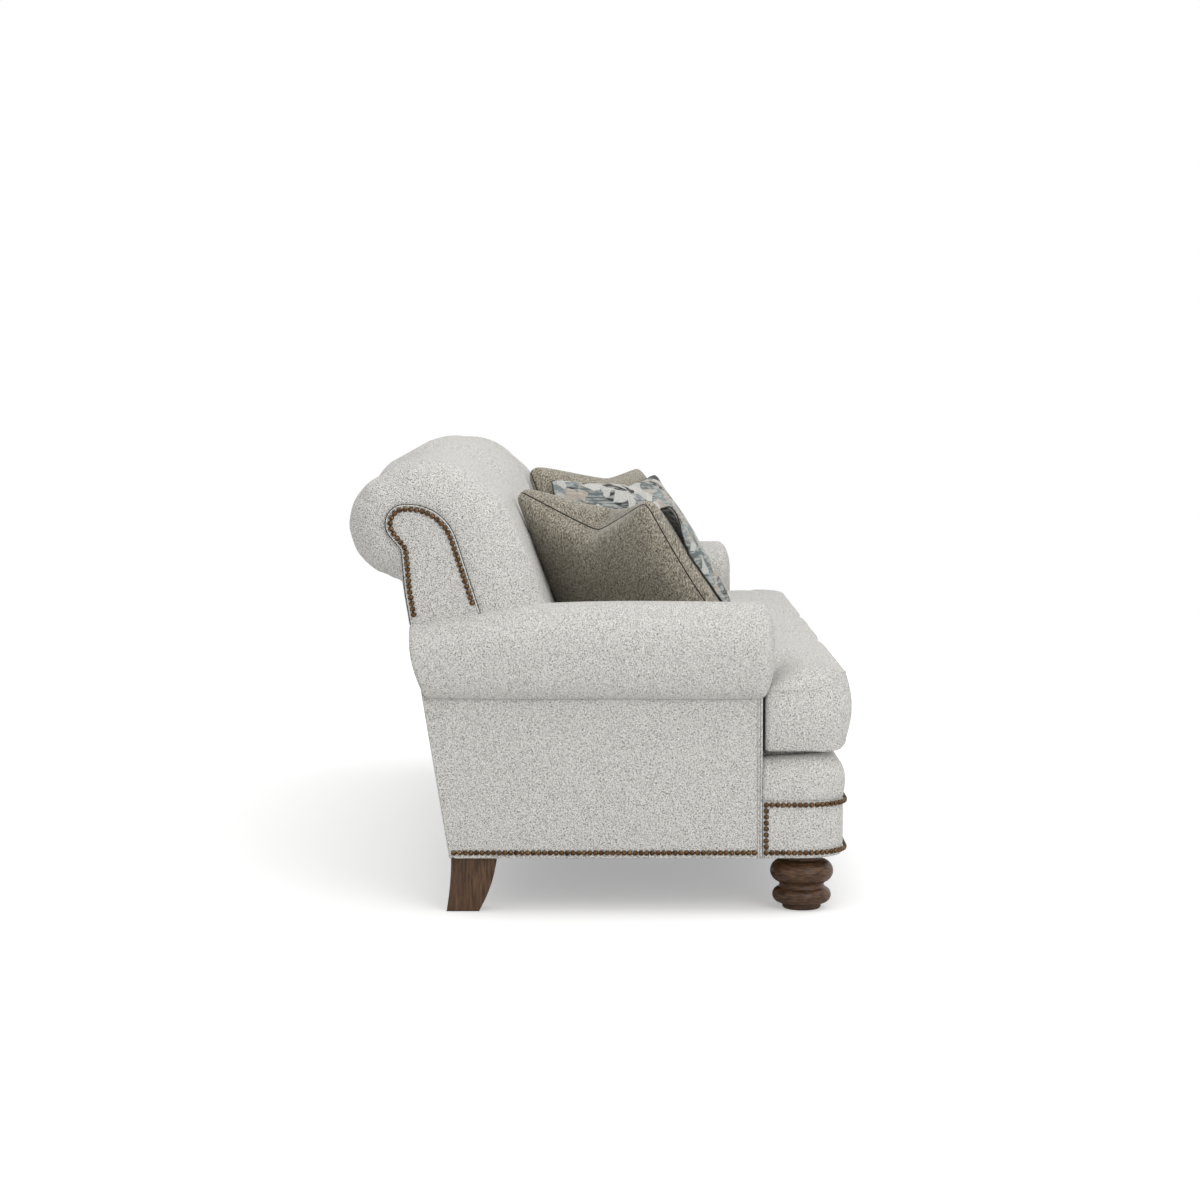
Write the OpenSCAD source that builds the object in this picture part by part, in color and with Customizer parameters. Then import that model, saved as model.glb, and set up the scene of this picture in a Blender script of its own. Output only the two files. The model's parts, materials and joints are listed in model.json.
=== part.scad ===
// Three seat sofa with a scroll back, rolled arms, loose T cushions, nail trim and turned feet.
// Front is -Y, the width runs along X, the floor is Z = 0.

/* [Overall] */
// Width over the two arm rolls
sofa_w = 2236; // [2000:4:2500]
// Depth from the front of the cushions to the back of the scroll
sofa_d = 1052; // [1000:4:1140]
// Height of the top of the back
back_h = 950; // [900:2:1000]
// Height of the top of the arms
arm_h = 637; // [610:1:660]
// Clear height under the base
foot_h = 114; // [95:1:130]

/* [Arms] */
// Width of one arm across its roll
arm_w = 240; // [220:2:270]
// Height of the padded roll above the arm board
roll_h = 187; // [170:1:195]
// How far the roll stands out past the outside panel
roll_out = 45; // [20:1:60]
// How far the pleated front of the roll bulges forward
roll_dome = 33; // [20:1:45]
// How far the front of the roll stands out past the facing
roll_fore = 24; // [16:1:36]
// Thickness of the outside panels and facings
panel_t = 8; // [6:1:10]
// Thickness of the padding inside the arms
arm_pad_t = 21; // [16:1:26]

/* [Back] */
// Lean of the back, as depth gained for each unit of height
rake = 0.165; // [0.13:0.005:0.2]
// Distance from the back of the padding to the frame at the foot of the back
base_in = 235; // [215:5:255]
// Depth of the back behind the seat cushions
back_depth = 486; // [460:2:510]
// Radius of the nail trimmed scroll on the end of the back
scroll_r = 37; // [32:1:42]
// Thickness of the padding where it wraps the scroll
back_pad_t = 91; // [80:1:100]
// Half width of the middle section of the back and of the middle cushion
bay_half = 300; // [260:5:330]
// How far the sewn channels draw the padding in, as a share of its thickness
channel_draw = 0.34; // [0.2:0.02:0.45]
// Fullness of the roll of the outer sections, as a share of the middle one
side_fill = 0.82; // [0.76:0.01:1]
// Thickness of the nail trimmed end panels of the back
end_panel_t = 12; // [8:1:14]

/* [Base] */
// Height of the nail trimmed lower band of the front
band_h = 121; // [105:1:135]
// Height of the padded front edge above the band
edge_h = 93; // [80:1:105]
// Radius of the front corners in plan
corner_r = 90; // [70:2:110]
// Thickness of the upholstered band
band_t = 14; // [10:1:18]
// Distance from the front of the cushions back to the face of the band
band_back = 5; // [1:1:20]
// Distance from the front of the cushions to the facing of the arms
arm_back = 179; // [165:1:200]
// Thickness of the padded deck under the cushions
deck_t = 34; // [26:1:40]

/* [Cushions] */
// Thickness of a seat cushion at its boxed edge
cushion_t = 156; // [140:2:176]
// Rise of the crown above the edge
crown_h = 32; // [20:1:44]
// Gap between neighbouring loose pieces
loose_gap = 1; // [0.6:0.1:3]
// Height of the foam core of a seat cushion
core_h = 110; // [90:2:126]

/* [Throw pillows] */
// Width of a throw pillow between its corners
pillow_w = 470; // [430:5:510]
// Height of a throw pillow as it stands
pillow_h = 425; // [390:5:450]
// Thickness of a throw pillow
pillow_t = 136; // [110:2:160]
// Turn of the pillows across the corner of the seat
pillow_yaw = 37; // [30:1:44]
// Lean of the pillows
pillow_lean = 42; // [36:1:48]
// Depth of the dent in the top edge
pillow_dent = 62; // [30:2:80]
// Distance from the inside of the arm to the outer corners of the pillows
pillow_in = 80; // [60:2:110]
// Distance from the back of the cushions to the inner corners of the pillows
pillow_fore = 13; // [4:1:40]
// How far the lower inner corner of the pillows settles back
pillow_tuck = 84; // [0:2:90]
// Width of a patterned pillow between its corners
pattern_w = 440; // [400:5:480]
// Height of a patterned pillow as it stands
pattern_h = 416; // [380:2:440]
// Thickness of a patterned pillow
pattern_t = 80; // [60:2:100]

/* [Wood] */
// Thickness of the hardwood rails
rail_t = 28; // [22:1:32]
// Thickness of the shaped end boards of the back
post_t = 24; // [20:1:30]
// Thickness of the arm boards
board_t = 22; // [18:1:26]
// Largest diameter of a turned front foot
foot_d = 131; // [116:1:140]
// Width of a rear leg
leg_w = 62; // [50:1:70]
// Diameter of the bolts that hold the feet
bolt_d = 8; // [6:1:10]

/* [Trim] */
// Diameter of a nail head
nail_d = 10.8; // [9:0.1:11]
// Height of a nail head
nail_h = 3.6; // [2.4:0.1:4]
// Distance between neighbouring nails
nail_pitch = 11.6; // [11.4:0.1:14]
// Width of the wire in the springs
wire_t = 4; // [3:0.5:5]

/* [Hidden] */

cloth = [0.80, 0.79, 0.77];
wood_dark = [0.26, 0.19, 0.14];
hardwood = [0.72, 0.58, 0.40];
bronze = [0.42, 0.30, 0.19];
steel = [0.55, 0.56, 0.58];
taupe = [0.43, 0.40, 0.35];
pattern_tint = [0.68, 0.72, 0.71];
foam = [0.93, 0.89, 0.72];
jute = [0.66, 0.55, 0.38];
black_cloth = [0.16, 0.16, 0.16];

// Planes that everything is placed from
y_front = -sofa_d / 2;
y_back = sofa_d / 2;
half_w = sofa_w / 2;
panel_x = half_w - roll_out;
inner_x = half_w - arm_w;
board_x = inner_x + arm_pad_t;
frame_x = panel_x - panel_t;
scroll_x = frame_x - end_panel_t - 7;
post_x = scroll_x - post_t;
band_y = y_front + band_back;
facing_y = y_front + arm_back;
arm_y = facing_y + panel_t + 2;
band_z = foot_h + band_h;
edge_z = band_z + edge_h;
seat_z = edge_z + 3;
board_z = arm_h - roll_h;
base_z = foot_h + 1.5;
spring_z = seat_z - deck_t - wire_t - 1;
touch = 0.3;
seat_back_y = y_back - back_depth;

// Rear face of the frame at height z, raked back
function rear_y(z) = y_back - base_in + rake * (z - foot_h);

// Scroll of the back: centre of its small end, the neck under it and the large curve in front of it
scroll_z = back_h - 150;
scroll_y = rear_y(scroll_z) - 20;
under_z = scroll_z - 136;
neck = [scroll_y + 5, scroll_z - 51];
breast_r = 2.65 * scroll_r;
breast_z = scroll_z + scroll_r - breast_r;
breast_y = scroll_y - 8;
breast_lean = 17;

// Eased step from 0 to 1
function ramp(t) = t <= 0 ? 0 : t >= 1 ? 1 : t * (2 - t);
function arc(cy, cz, r, a0, a1, n) = [for (i = [0:n]) let (a = a0 + (a1 - a0) * i / n)
    [cy + r * cos(a), cz + r * sin(a)]];

// Front line of the scroll shape at height z
function breast_line(z) = breast_y - breast_r * cos(breast_lean)
    - (breast_z + breast_r * sin(breast_lean) - z) * tan(breast_lean + 1);

// Outline of the end of the back from height z0 up the rear, round the scroll and down to z1
function scroll_outline(z0, z1, g) = concat(
    [[rear_y(z0) + g, z0], [rear_y(under_z) + g, under_z], neck + [g, 0]],
    arc(scroll_y, scroll_z, scroll_r + g, -45, 90, 7),
    arc(breast_y, breast_z, breast_r + g, 98, 180 - breast_lean, 7),
    [[breast_line(z1) - g, z1]]);

// A profile in Y and Z carried across the sofa from x0 to x1
module across(x0, x1) {
    translate([x0, 0, 0]) rotate([90, 0, 90]) linear_extrude(x1 - x0) children();
}
// A box from its lowest to its highest corner
module block(a, b) {
    translate(a) cube(b - a);
}
// The left half is drawn, and the right half is its mirror image
module mirrored(side) {
    if (side > 0) children();
    else mirror([1, 0, 0]) children();
}

// Surface through closed rings of equal length, capped by polygons
function ring_faces(m, n) = concat(
    [for (k = [0:m - 2]) for (i = [0:n - 1]) let (j = (i + 1) % n)
        [k * n + i, (k + 1) * n + i, k * n + j]],
    [for (k = [0:m - 2]) for (i = [0:n - 1]) let (j = (i + 1) % n)
        [k * n + j, (k + 1) * n + i, (k + 1) * n + j]]);
module skin(rings) {
    m = len(rings);
    n = len(rings[0]);
    start = [for (i = [0:n - 1]) i];
    finish = [for (i = [n - 1:-1:0]) (m - 1) * n + i];
    polyhedron([for (r = rings) for (p = r) p], concat(ring_faces(m, n), [start], [finish]));
}
// The same where each ring is an outer line and an inner line of equal length, so it closes in strips
function strip_faces(n, base, flip) = [for (i = [0:n - 2]) for (t = [0, 1])
    let (a = base + i, b = base + i + 1, c = base + 2 * n - 2 - i, d = base + 2 * n - 1 - i)
    let (f = t == 0 ? [a, b, c] : [a, c, d]) flip ? [f[2], f[1], f[0]] : f];
module wrap_skin(outer, inner) {
    m = len(outer);
    n = len(outer[0]);
    rings = [for (k = [0:m - 1]) concat(outer[k], [for (i = [n - 1:-1:0]) inner[k][i]])];
    polyhedron([for (r = rings) for (p = r) p],
        concat(ring_faces(m, 2 * n), strip_faces(n, 0, false), strip_faces(n, (m - 1) * 2 * n, true)));
}

// Base frame
rail_front_y = band_y + band_t;
block_x = panel_x - corner_r + 52;
module front_rail() {
    x = panel_x - corner_r - 6;
    color(hardwood) block([-x, rail_front_y, base_z], [x, rail_front_y + rail_t, spring_z]);
}
module back_rail() {
    color(hardwood) across(-post_x, post_x) polygon([
        [rear_y(base_z) - rail_t, base_z], [rear_y(base_z), base_z],
        [rear_y(band_z), band_z], [rear_y(band_z) - rail_t, band_z]]);
}
module side_rail(side) {
    inner = scroll_x + touch;
    color(hardwood) mirrored(side) across(inner, frame_x) polygon([
        [arm_y, base_z], [rear_y(base_z), base_z], [rear_y(band_z), band_z], [arm_y, band_z]]);
}
stretcher_h = 60;
stretcher_z = base_z + 20;
module seat_stretchers() {
    color(hardwood) for (x = [-bay_half, bay_half])
        block([x - rail_t / 2, rail_front_y + rail_t + touch, stretcher_z],
            [x + rail_t / 2, rear_y(stretcher_z) - rail_t - touch, stretcher_z + stretcher_h]);
}

// Blocks glued in the corners, which the feet are bolted to
foot_x = panel_x - 70;
foot_y = facing_y - 85;
leg_x = panel_x - 55;
leg_y = rear_y(base_z) - 48;
block_t = 44;
front_block_in = 75;
rear_block_in = 60;
bolt_len = 80;
module bolt_at(x, y, d) {
    translate([x, y, foot_h - bolt_len / 2]) cylinder(h = bolt_len, d = d);
}
module front_corner_blocks() {
    color(hardwood) for (s = [-1, 1]) mirrored(s) difference() {
        block([foot_x - front_block_in, rail_front_y + rail_t + touch, foot_h],
            [block_x, facing_y - 1, foot_h + block_t]);
        bolt_at(foot_x, foot_y, bolt_d + 0.6);
    }
}
module rear_corner_blocks() {
    color(hardwood) for (s = [-1, 1]) mirrored(s) difference() {
        block([leg_x - rear_block_in, leg_y - rear_block_in, foot_h],
            [scroll_x, rear_y(base_z) - rail_t, foot_h + block_t]);
        bolt_at(leg_x, leg_y, bolt_d + 0.6);
    }
}
module foot_bolts() {
    color(steel) for (s = [-1, 1]) mirrored(s) {
        bolt_at(foot_x, foot_y, bolt_d);
        bolt_at(leg_x, leg_y, bolt_d);
    }
}

// Rear rail of the seat, which carries the back ends of the springs, and the rail above it
tack_z = seat_z + 16;
seat_rail_y = breast_line(spring_z) + 6;
seat_rail_h = 50;
tack_rail_h = 40;
module seat_rear_rail() {
    color(hardwood) block([-post_x, seat_rail_y, spring_z - seat_rail_h],
        [post_x, seat_rail_y + rail_t, spring_z]);
}
module back_tack_rail() {
    top_z = tack_z + tack_rail_h;
    y0 = breast_line(tack_z) + web_t + 1;
    y1 = breast_line(top_z) + web_t + 1;
    color(hardwood) across(-post_x, post_x)
        polygon([[y0, tack_z], [y0 + rail_t, tack_z], [y1 + rail_t, top_z], [y1, top_z]]);
}

// Arm frames
module arm_post(side) {
    color(hardwood) mirrored(side) block([board_x + touch, arm_y, band_z + touch],
        [frame_x, arm_y + rail_t, board_z - board_t]);
}
module arm_board(side) {
    tail_y = rear_y(board_z - board_t);
    color(hardwood) mirrored(side) translate([0, 0, board_z - board_t]) linear_extrude(board_t) polygon([
        [board_x + touch, arm_y], [frame_x, arm_y], [frame_x, tail_y],
        [scroll_x + touch, tail_y], [scroll_x + touch, seat_back_y], [board_x + touch, seat_back_y]]);
}

// Back frame: shaped end posts, two uprights and the rails between them
module back_post(side) {
    z0 = foot_h + block_t + touch;
    color(hardwood) mirrored(side) across(post_x, scroll_x - touch) polygon(concat(
        scroll_outline(z0, spring_z - 60, -4 * touch), [[rear_y(z0) - 90, z0]]));
}
top_rail_z = scroll_z - 24;
function breast_at(z) = breast_y - sqrt(pow(breast_r, 2) - pow(z - breast_z, 2));
module back_top_rail() {
    color(hardwood) across(-post_x, post_x) polygon([
        [breast_at(top_rail_z) + 1, top_rail_z], [scroll_y + 18, top_rail_z],
        [scroll_y + 18, top_rail_z + rail_t], [breast_at(top_rail_z + rail_t) + 1, top_rail_z + rail_t]]);
}
module back_uprights() {
    top_z = top_rail_z - touch;
    color(hardwood) for (x = [-bay_half, bay_half]) across(x - rail_t / 2, x + rail_t / 2) polygon([
        [rear_y(band_z) - 44, band_z + touch], [rear_y(band_z) - 1, band_z + touch],
        [rear_y(top_z) - 15, top_z], [rear_y(top_z) - 57, top_z]]);
}

// Sinuous springs: a flat ribbon bent to and fro, from the front rail to the rail of the back
spring_half = 24;
spring_step = 15;
spring_y0 = rail_front_y + 4;
spring_y1 = seat_rail_y + rail_t - 4;
spring_n = floor((spring_y1 - spring_y0) / spring_step);
function wave(i, n) = i == 0 || i == n ? 0 : [1, 1, -1, -1][(i - 1) % 4];
function ribbon_side(path, w) = [for (i = [0:len(path) - 1])
    let (a = path[max(i - 1, 0)], b = path[min(i + 1, len(path) - 1)], c = path[i],
        u = i > 0 ? (c - a) / norm(c - a) : (b - c) / norm(b - c),
        v = i < len(path) - 1 ? (b - c) / norm(b - c) : u,
        nu = [-u[1], u[0]], nv = [-v[1], v[0]], m = nu + nv)
    c + m * w / (m * nu)];
module sinuous_spring(x) {
    step = (spring_y1 - spring_y0) / spring_n;
    path = [for (i = [0:spring_n]) [x + spring_half * wave(i, spring_n), spring_y0 + i * step]];
    translate([0, 0, spring_z + touch]) linear_extrude(wire_t)
        polygon(concat(ribbon_side(path, wire_t / 2),
            [for (i = [spring_n:-1:0]) ribbon_side(path, -wire_t / 2)[i]]));
}
springs_per_bay = 5;
bay_w = 2 * inner_x / 3;
spring_xs = [for (b = [-1:1]) for (i = [0:springs_per_bay - 1])
    b * bay_w + (i - (springs_per_bay - 1) / 2) * bay_w / springs_per_bay];
module seat_springs() {
    color(steel) for (x = spring_xs) sinuous_spring(x);
}
clip_h = 2;
clip_w = 18;
clip_l = 14;
module spring_clips() {
    clip_z = spring_z + wire_t + 2 * touch;
    color(steel) for (x = spring_xs) for (y = [spring_y0, spring_y1 - clip_l])
        block([x - clip_w / 2, y, clip_z], [x + clip_w / 2, y + clip_l, clip_z + clip_h]);
}
// Webbing strips up the front of the back, from the tack rail to the top rail
web_w = 50;
web_t = 2.4;
module back_webbing() {
    z0 = tack_z + 5;
    z1 = top_rail_z - touch;
    bend_z = breast_z + breast_r * sin(breast_lean);
    color(jute) for (b = [-1:1]) for (i = [-1:1]) let (x = b * bay_w + i * bay_w / 3 - web_w / 2)
        across(x, x + web_w) polygon([
            [breast_line(z0) + 1, z0], [breast_line(z0) + 1 + web_t, z0],
            [breast_line(bend_z) + 1 + web_t, bend_z], [breast_at(z1) + 2 + web_t, z1],
            [breast_at(z1) + 2, z1], [breast_line(bend_z) + 1, bend_z]]);
}

// Padded deck and the thin cloth under the base
deck_z = spring_z + wire_t + clip_h + 3 * touch;
edge_in_y = rail_front_y + 58;
module deck_pad() {
    color(cloth) block([-(inner_x - touch), edge_in_y + touch, deck_z],
        [inner_x - touch, seat_back_y + 4 - touch, seat_z - touch]);
}
module dust_cover() {
    color(black_cloth) {
        block([touch - inner_x, rail_front_y + touch, foot_h], [inner_x - touch, arm_y, base_z - touch]);
        block([rear_block_in + 1 - leg_x, arm_y, foot_h],
            [leg_x - rear_block_in - 1, rear_y(foot_h) - 2, base_z - touch]);
    }
}

// Upholstered band round the front of the base, and the padded edge above it
corner_steps = 6;
corner_cx = panel_x - corner_r;
corner_cy = band_y + corner_r;
// Line round the front in plan, from the right arm to the left, set in by g
function front_line(g) = concat(
    [[-panel_x + g, facing_y]],
    [for (i = [0:corner_steps]) let (a = 180 + 90 * i / corner_steps)
        [-corner_cx + (corner_r - g) * cos(a), corner_cy + (corner_r - g) * sin(a)]],
    [for (i = [0:corner_steps]) let (a = 270 + 90 * i / corner_steps)
        [corner_cx + (corner_r - g) * cos(a), corner_cy + (corner_r - g) * sin(a)]],
    [[panel_x - g, facing_y]]);
// Inner line of the top of the padded edge, point for point with the line above
function edge_inner() = let (dy = edge_in_y - facing_y, n = corner_steps) concat(
    [[-inner_x, facing_y]],
    [for (i = [0:n]) [-inner_x, facing_y + dy * (i + 1) / (n + 1)]],
    [for (i = [n:-1:0]) [inner_x, facing_y + dy * (i + 1) / (n + 1)]],
    [[inner_x, facing_y]]);
function at_z(path, z) = [for (p = path) [p[0], p[1], z]];
function back_again(path) = [for (i = [len(path) - 1:-1:0]) path[i]];
module front_band() {
    color(cloth) translate([0, 0, foot_h]) linear_extrude(band_h - touch)
        polygon(concat(front_line(0), back_again(front_line(band_t))));
}
// Each station of the padded edge: how far it stands in, and its height
edge_round = [[3, 0], [1, 8], [-1, 0.35 * edge_h], [0, 0.72 * edge_h], [8, 0.9 * edge_h],
    [19, 0.975 * edge_h], [36, edge_h]];
module front_edge_pad() {
    step_z = deck_z;
    lower = [for (e = edge_round) if (band_z + e[1] < step_z) e];
    upper = [for (e = edge_round) if (band_z + e[1] >= step_z) e];
    inner = edge_inner();
    thin = front_line(band_t);
    outer_rings = concat([for (e = lower) at_z(front_line(e[0]), band_z + e[1])],
        [at_z(front_line(0), step_z)], [at_z(front_line(0), step_z + 0.5)],
        [for (e = upper) at_z(front_line(e[0]), band_z + e[1])]);
    inner_rings = concat([for (e = lower) at_z(thin, band_z + e[1])],
        [at_z(thin, step_z)], [at_z(inner, step_z + 0.5)],
        [for (e = upper) at_z(inner, band_z + e[1])]);
    color(cloth) wrap_skin(outer_rings, inner_rings);
}

// Rolled arm: outline across the roll, with a squared lower edge and a flat under side on the arm board
roll_rx = 110;
roll_cx = half_w - roll_rx;
squared = 0.66;
roll_cz = board_z + roll_h / 2;
function roll_outline() = concat(
    [[inner_x + 2, board_z + touch], [frame_x - 4, board_z + touch]],
    [for (i = [0:3]) let (a = 58 - 16 * i)
        [roll_cx + roll_rx * pow(cos(a), squared), roll_cz - roll_h / 2 * pow(sin(a), squared)]],
    [for (i = [0:5]) let (a = 18 * i)
        [roll_cx + roll_rx * cos(a), roll_cz + roll_h / 2 * sin(a)]],
    [for (i = [1:6]) let (a = 90 + 90 * i / 6)
        [roll_cx + (roll_cx - inner_x) * cos(a), arm_h - 76 + 76 * sin(a)]]);
// One station along the roll: share of the full outline, place along Y and how far it follows the rake
function roll_ring(share, y, follow) = [for (p = back_again(roll_outline()))
    let (x = roll_cx + (p[0] - roll_cx) * share, z = roll_cz + (p[1] - roll_cz) * share,
        drop = 0.17 * follow * follow * (z - board_z))
    [x, y + follow * (rear_y(z) - rear_y(board_z)), z - drop]];
roll_y0 = facing_y - roll_fore;
roll_y1 = rear_y(board_z);
dome_steps = [0.96, 0.86, 0.68, 0.42, 0];
module roll_body() {
    full_y = roll_y0 + roll_dome;
    skin(concat(
        [for (q = dome_steps) roll_ring(sqrt(1 - q * q), roll_y0 + roll_dome * (1 - q), 0)],
        [for (t = [0.25, 0.5, 0.75]) roll_ring(1, full_y + (roll_y1 - 20 - full_y) * t, pow(t, 3))],
        [roll_ring(1, roll_y1 - 18, 0.97)],
        [roll_ring(0.985, roll_y1 - 5, 1)],
        [roll_ring(0.94, roll_y1, 1)]));
}
// Room that the back takes out of the rear of the roll
module back_room() {
    across(0, scroll_x + end_panel_t + 2 * touch) polygon([
        [seat_back_y + 4 - touch, board_z - 1], [seat_back_y + 4 - touch, flank_corner_z],
        [flank(arm_h + 20) - touch, arm_h + 20], [y_back, arm_h + 20], [y_back, board_z - 1]]);
}
module arm_roll(side) {
    color(cloth) mirrored(side) difference() {
        roll_body();
        back_room();
    }
}

// Panels of the arms
module inside_arm(side) {
    color(cloth) mirrored(side)
        block([inner_x, arm_y, deck_z], [board_x, seat_back_y + 4 - touch, board_z]);
}
module outside_arm(side) {
    color(cloth) mirrored(side) across(frame_x + touch / 2, panel_x) polygon([
        [arm_y, foot_h], [rear_y(foot_h), foot_h], [rear_y(board_z), board_z], [arm_y, board_z]]);
}
module arm_facing(side) {
    color(cloth) mirrored(side)
        block([inner_x, facing_y + touch, foot_h], [panel_x, arm_y - touch, board_z]);
}

// Padding of the back, three plump sections drawn in along two sewn channels
rear_pad_r = scroll_r + back_pad_t;
rear_pad_y = scroll_y + 12;
rear_pad_z = scroll_z - 5;
top_pad_r = rear_pad_r + 47;
top_pad_y = scroll_y - 66;
top_pad_z = back_h - top_pad_r;
flank_lean = 19.5;
pad_z0 = deck_z + touch;
// Front face of the padding at height z, upright behind the cushions
function flank_line(z) = top_pad_y - top_pad_r * cos(flank_lean)
    - (top_pad_z + top_pad_r * sin(flank_lean) - z) * tan(flank_lean);
function flank(z) = max(flank_line(z), seat_back_y + 4);
flank_corner_z = arm_h - 110;
flank_zs = [0.62, 0.42, 0.27, 0.14, 0];
function flank_z(f) = pad_z0 + f * (breast_z - pad_z0);
function pad_inner() = concat(
    [[rear_y(under_z), under_z], neck],
    arc(scroll_y, scroll_z, scroll_r, -45, 90, 6),
    arc(breast_y, breast_z, breast_r, 98, 180 - breast_lean, 5),
    [for (f = flank_zs) [breast_line(flank_z(f)), flank_z(f)]]);
function pad_outer() = concat(
    [[rear_y(under_z) + 22, under_z + 1]],
    arc(rear_pad_y, rear_pad_z, rear_pad_r, -80, 52, 7),
    arc(top_pad_y, top_pad_z, top_pad_r, 66, 180 - flank_lean, 5),
    [for (f = flank_zs) [flank(flank_z(f)), flank_z(f)]]);
// Shares of the full thickness at x: in the channels, at the rounded ends and round the roll
end_round = 105;
function channel_share(x) = let (t = abs(x) <= bay_half ? abs(x) / bay_half
        : 1 - min(1, (abs(x) - bay_half) / 240))
    1 - channel_draw * pow(t, 7);
function end_share(x, z) = let (q = (abs(x) - (scroll_x - end_round)) / end_round,
        w = min(1, max(0, (z - arm_h + 30) / 50)))
    q <= 0 ? 1 : 1 - w * (1 - sqrt(max(0, 1 - 0.99 * q * q)));
function roll_share(x, p) =
    let (w = max(ramp((p[0] - scroll_y - 10) / 50), ramp((p[1] - scroll_z - 10) / 100)))
    1 - (1 - side_fill) * w * ramp((abs(x) - bay_half) / 120);
function pad_ring(x) = [for (i = [0:len(pad_outer()) - 1])
    let (a = pad_inner()[i], b = pad_outer()[i],
        k = channel_share(x) * end_share(x, b[1]) * roll_share(x, b), c = a + (b - a) * k)
    [x, c[0], c[1]]];
function core_ring(x) = [for (p = pad_inner()) [x, p[0], p[1]]];
module back_pad(xs) {
    color(cloth) wrap_skin([for (x = xs) pad_ring(x)], [for (x = xs) core_ring(x)]);
}
side_xs = concat([for (d = [touch / 2, 15, 50, 130]) bay_half + d],
    [for (f = [0.5]) bay_half + f * (scroll_x - bay_half)],
    [for (d = [190, end_round, 62, 30, 9, touch]) scroll_x - d]);
half_xs = [for (d = [touch / 2, 15, 50, 130]) bay_half - d];
middle_xs = concat([for (x = half_xs) -x], [0], back_again(half_xs));

// Nail trimmed end panels and the panel across the rear
module back_end(side) {
    color(cloth) mirrored(side) across(scroll_x, scroll_x + end_panel_t)
        polygon(scroll_outline(board_z + touch, board_z + touch, 0));
}
rear_panel_t = 6;
module outside_back() {
    x = scroll_x - touch;
    color(cloth) across(-x, x) polygon([
        [rear_y(foot_h), foot_h], [rear_y(foot_h) + rear_panel_t, foot_h],
        [rear_y(under_z) + rear_panel_t, under_z - touch], [rear_y(under_z), under_z - touch]]);
}

// Turned front foot: ring, neck, lower ring and base disc
module front_foot(side) {
    r = foot_d / 2;
    color(wood_dark) mirrored(side) translate([foot_x, foot_y, 0]) difference() {
        rotate_extrude() polygon(concat(
            [[0, 0], [0.57 * r, 0], [0.61 * r, 3], [0.61 * r, 9]],
            arc(0.68 * r, 28, 0.25 * r, -75, 75, 8),
            [[0.725 * r, 45], [0.70 * r, 50], [0.72 * r, 54]],
            arc(0.64 * r, 78, 0.36 * r, -68, 80, 10),
            [[0.62 * r, foot_h - 11], [0.62 * r, foot_h], [0, foot_h]]));
        translate([0, 0, foot_h - bolt_len / 2 - 1]) cylinder(h = bolt_len, d = bolt_d + 0.4);
    }
}

// Sabre shaped rear leg, raked back
module rear_leg(side) {
    h = foot_h;
    top_y = rear_y(h) + 2;
    color(wood_dark) mirrored(side) difference() {
        across(leg_x - leg_w / 2, leg_x + leg_w / 2) polygon(concat(
            [for (i = [0:6]) let (t = i / 6) [top_y - 93 + 36 * pow(t, 1.8), h * (1 - t)]],
            [for (i = [0:6]) let (t = 1 - i / 6) [top_y + 10 * pow(t, 2), h * (1 - t)]]));
        translate([leg_x, leg_y, h - bolt_len / 2 - 1]) cylinder(h = bolt_len, d = bolt_d + 0.4);
    }
}

// Nail head, a shallow dome cut off flat at the top
module nail_head() {
    cylinder(h = nail_h, d1 = nail_d, d2 = 0.5 * nail_d);
}
// Length of a path up to its point i, and the place at length d along it
function path_len(path, i) = i == 0 ? 0 : path_len(path, i - 1) + norm(path[i] - path[i - 1]);
function place_on(path, d, i = 1) = let (s = norm(path[i] - path[i - 1]))
    s > 0 && d <= s || i == len(path) - 1
        ? path[i - 1] + (path[i] - path[i - 1]) * d / s : place_on(path, d - s, i + 1);
function nail_count(l) = floor(l / nail_pitch);
nail_inset = 12;
module nails_side(side) {
    y0 = arm_y + 7;
    y1 = rear_y(foot_h + nail_inset) - 7;
    n = nail_count(y1 - y0);
    color(bronze) mirrored(side) for (i = [0:n])
        translate([panel_x + touch, y0 + (y1 - y0) * i / n, foot_h + nail_inset])
            rotate([0, 90, 0]) nail_head();
}
// Place and facing of a nail at length d along the front of the band
side_run = facing_y - corner_cy - 7;
corner_run = PI / 2 * corner_r;
front_run = 2 * (side_run + corner_run + corner_cx);
module on_band(d, z) {
    half = front_run / 2;
    s = d < half ? -1 : 1;
    e = half - abs(d - half);
    r = corner_r + touch;
    mirrored(s) {
        if (e < side_run)
            translate([panel_x + touch, corner_cy + side_run - e, z]) rotate([0, 90, 0]) children();
        else if (e < side_run + corner_run) let (a = -90 * (e - side_run) / corner_run)
            translate([corner_cx + r * cos(a), corner_cy + r * sin(a), z]) rotate([0, 90, a]) children();
        else
            translate([corner_cx - (e - side_run - corner_run), band_y - touch, z])
                rotate([90, 0, 0]) children();
    }
}
module nail_row(z) {
    n = nail_count(front_run);
    for (i = [0:n]) on_band(front_run * i / n, z) nail_head();
}
row_low_z = foot_h + nail_inset;
row_top_z = band_z - 10;
module nails_band_top() {
    color(bronze) nail_row(row_top_z);
}
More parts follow.
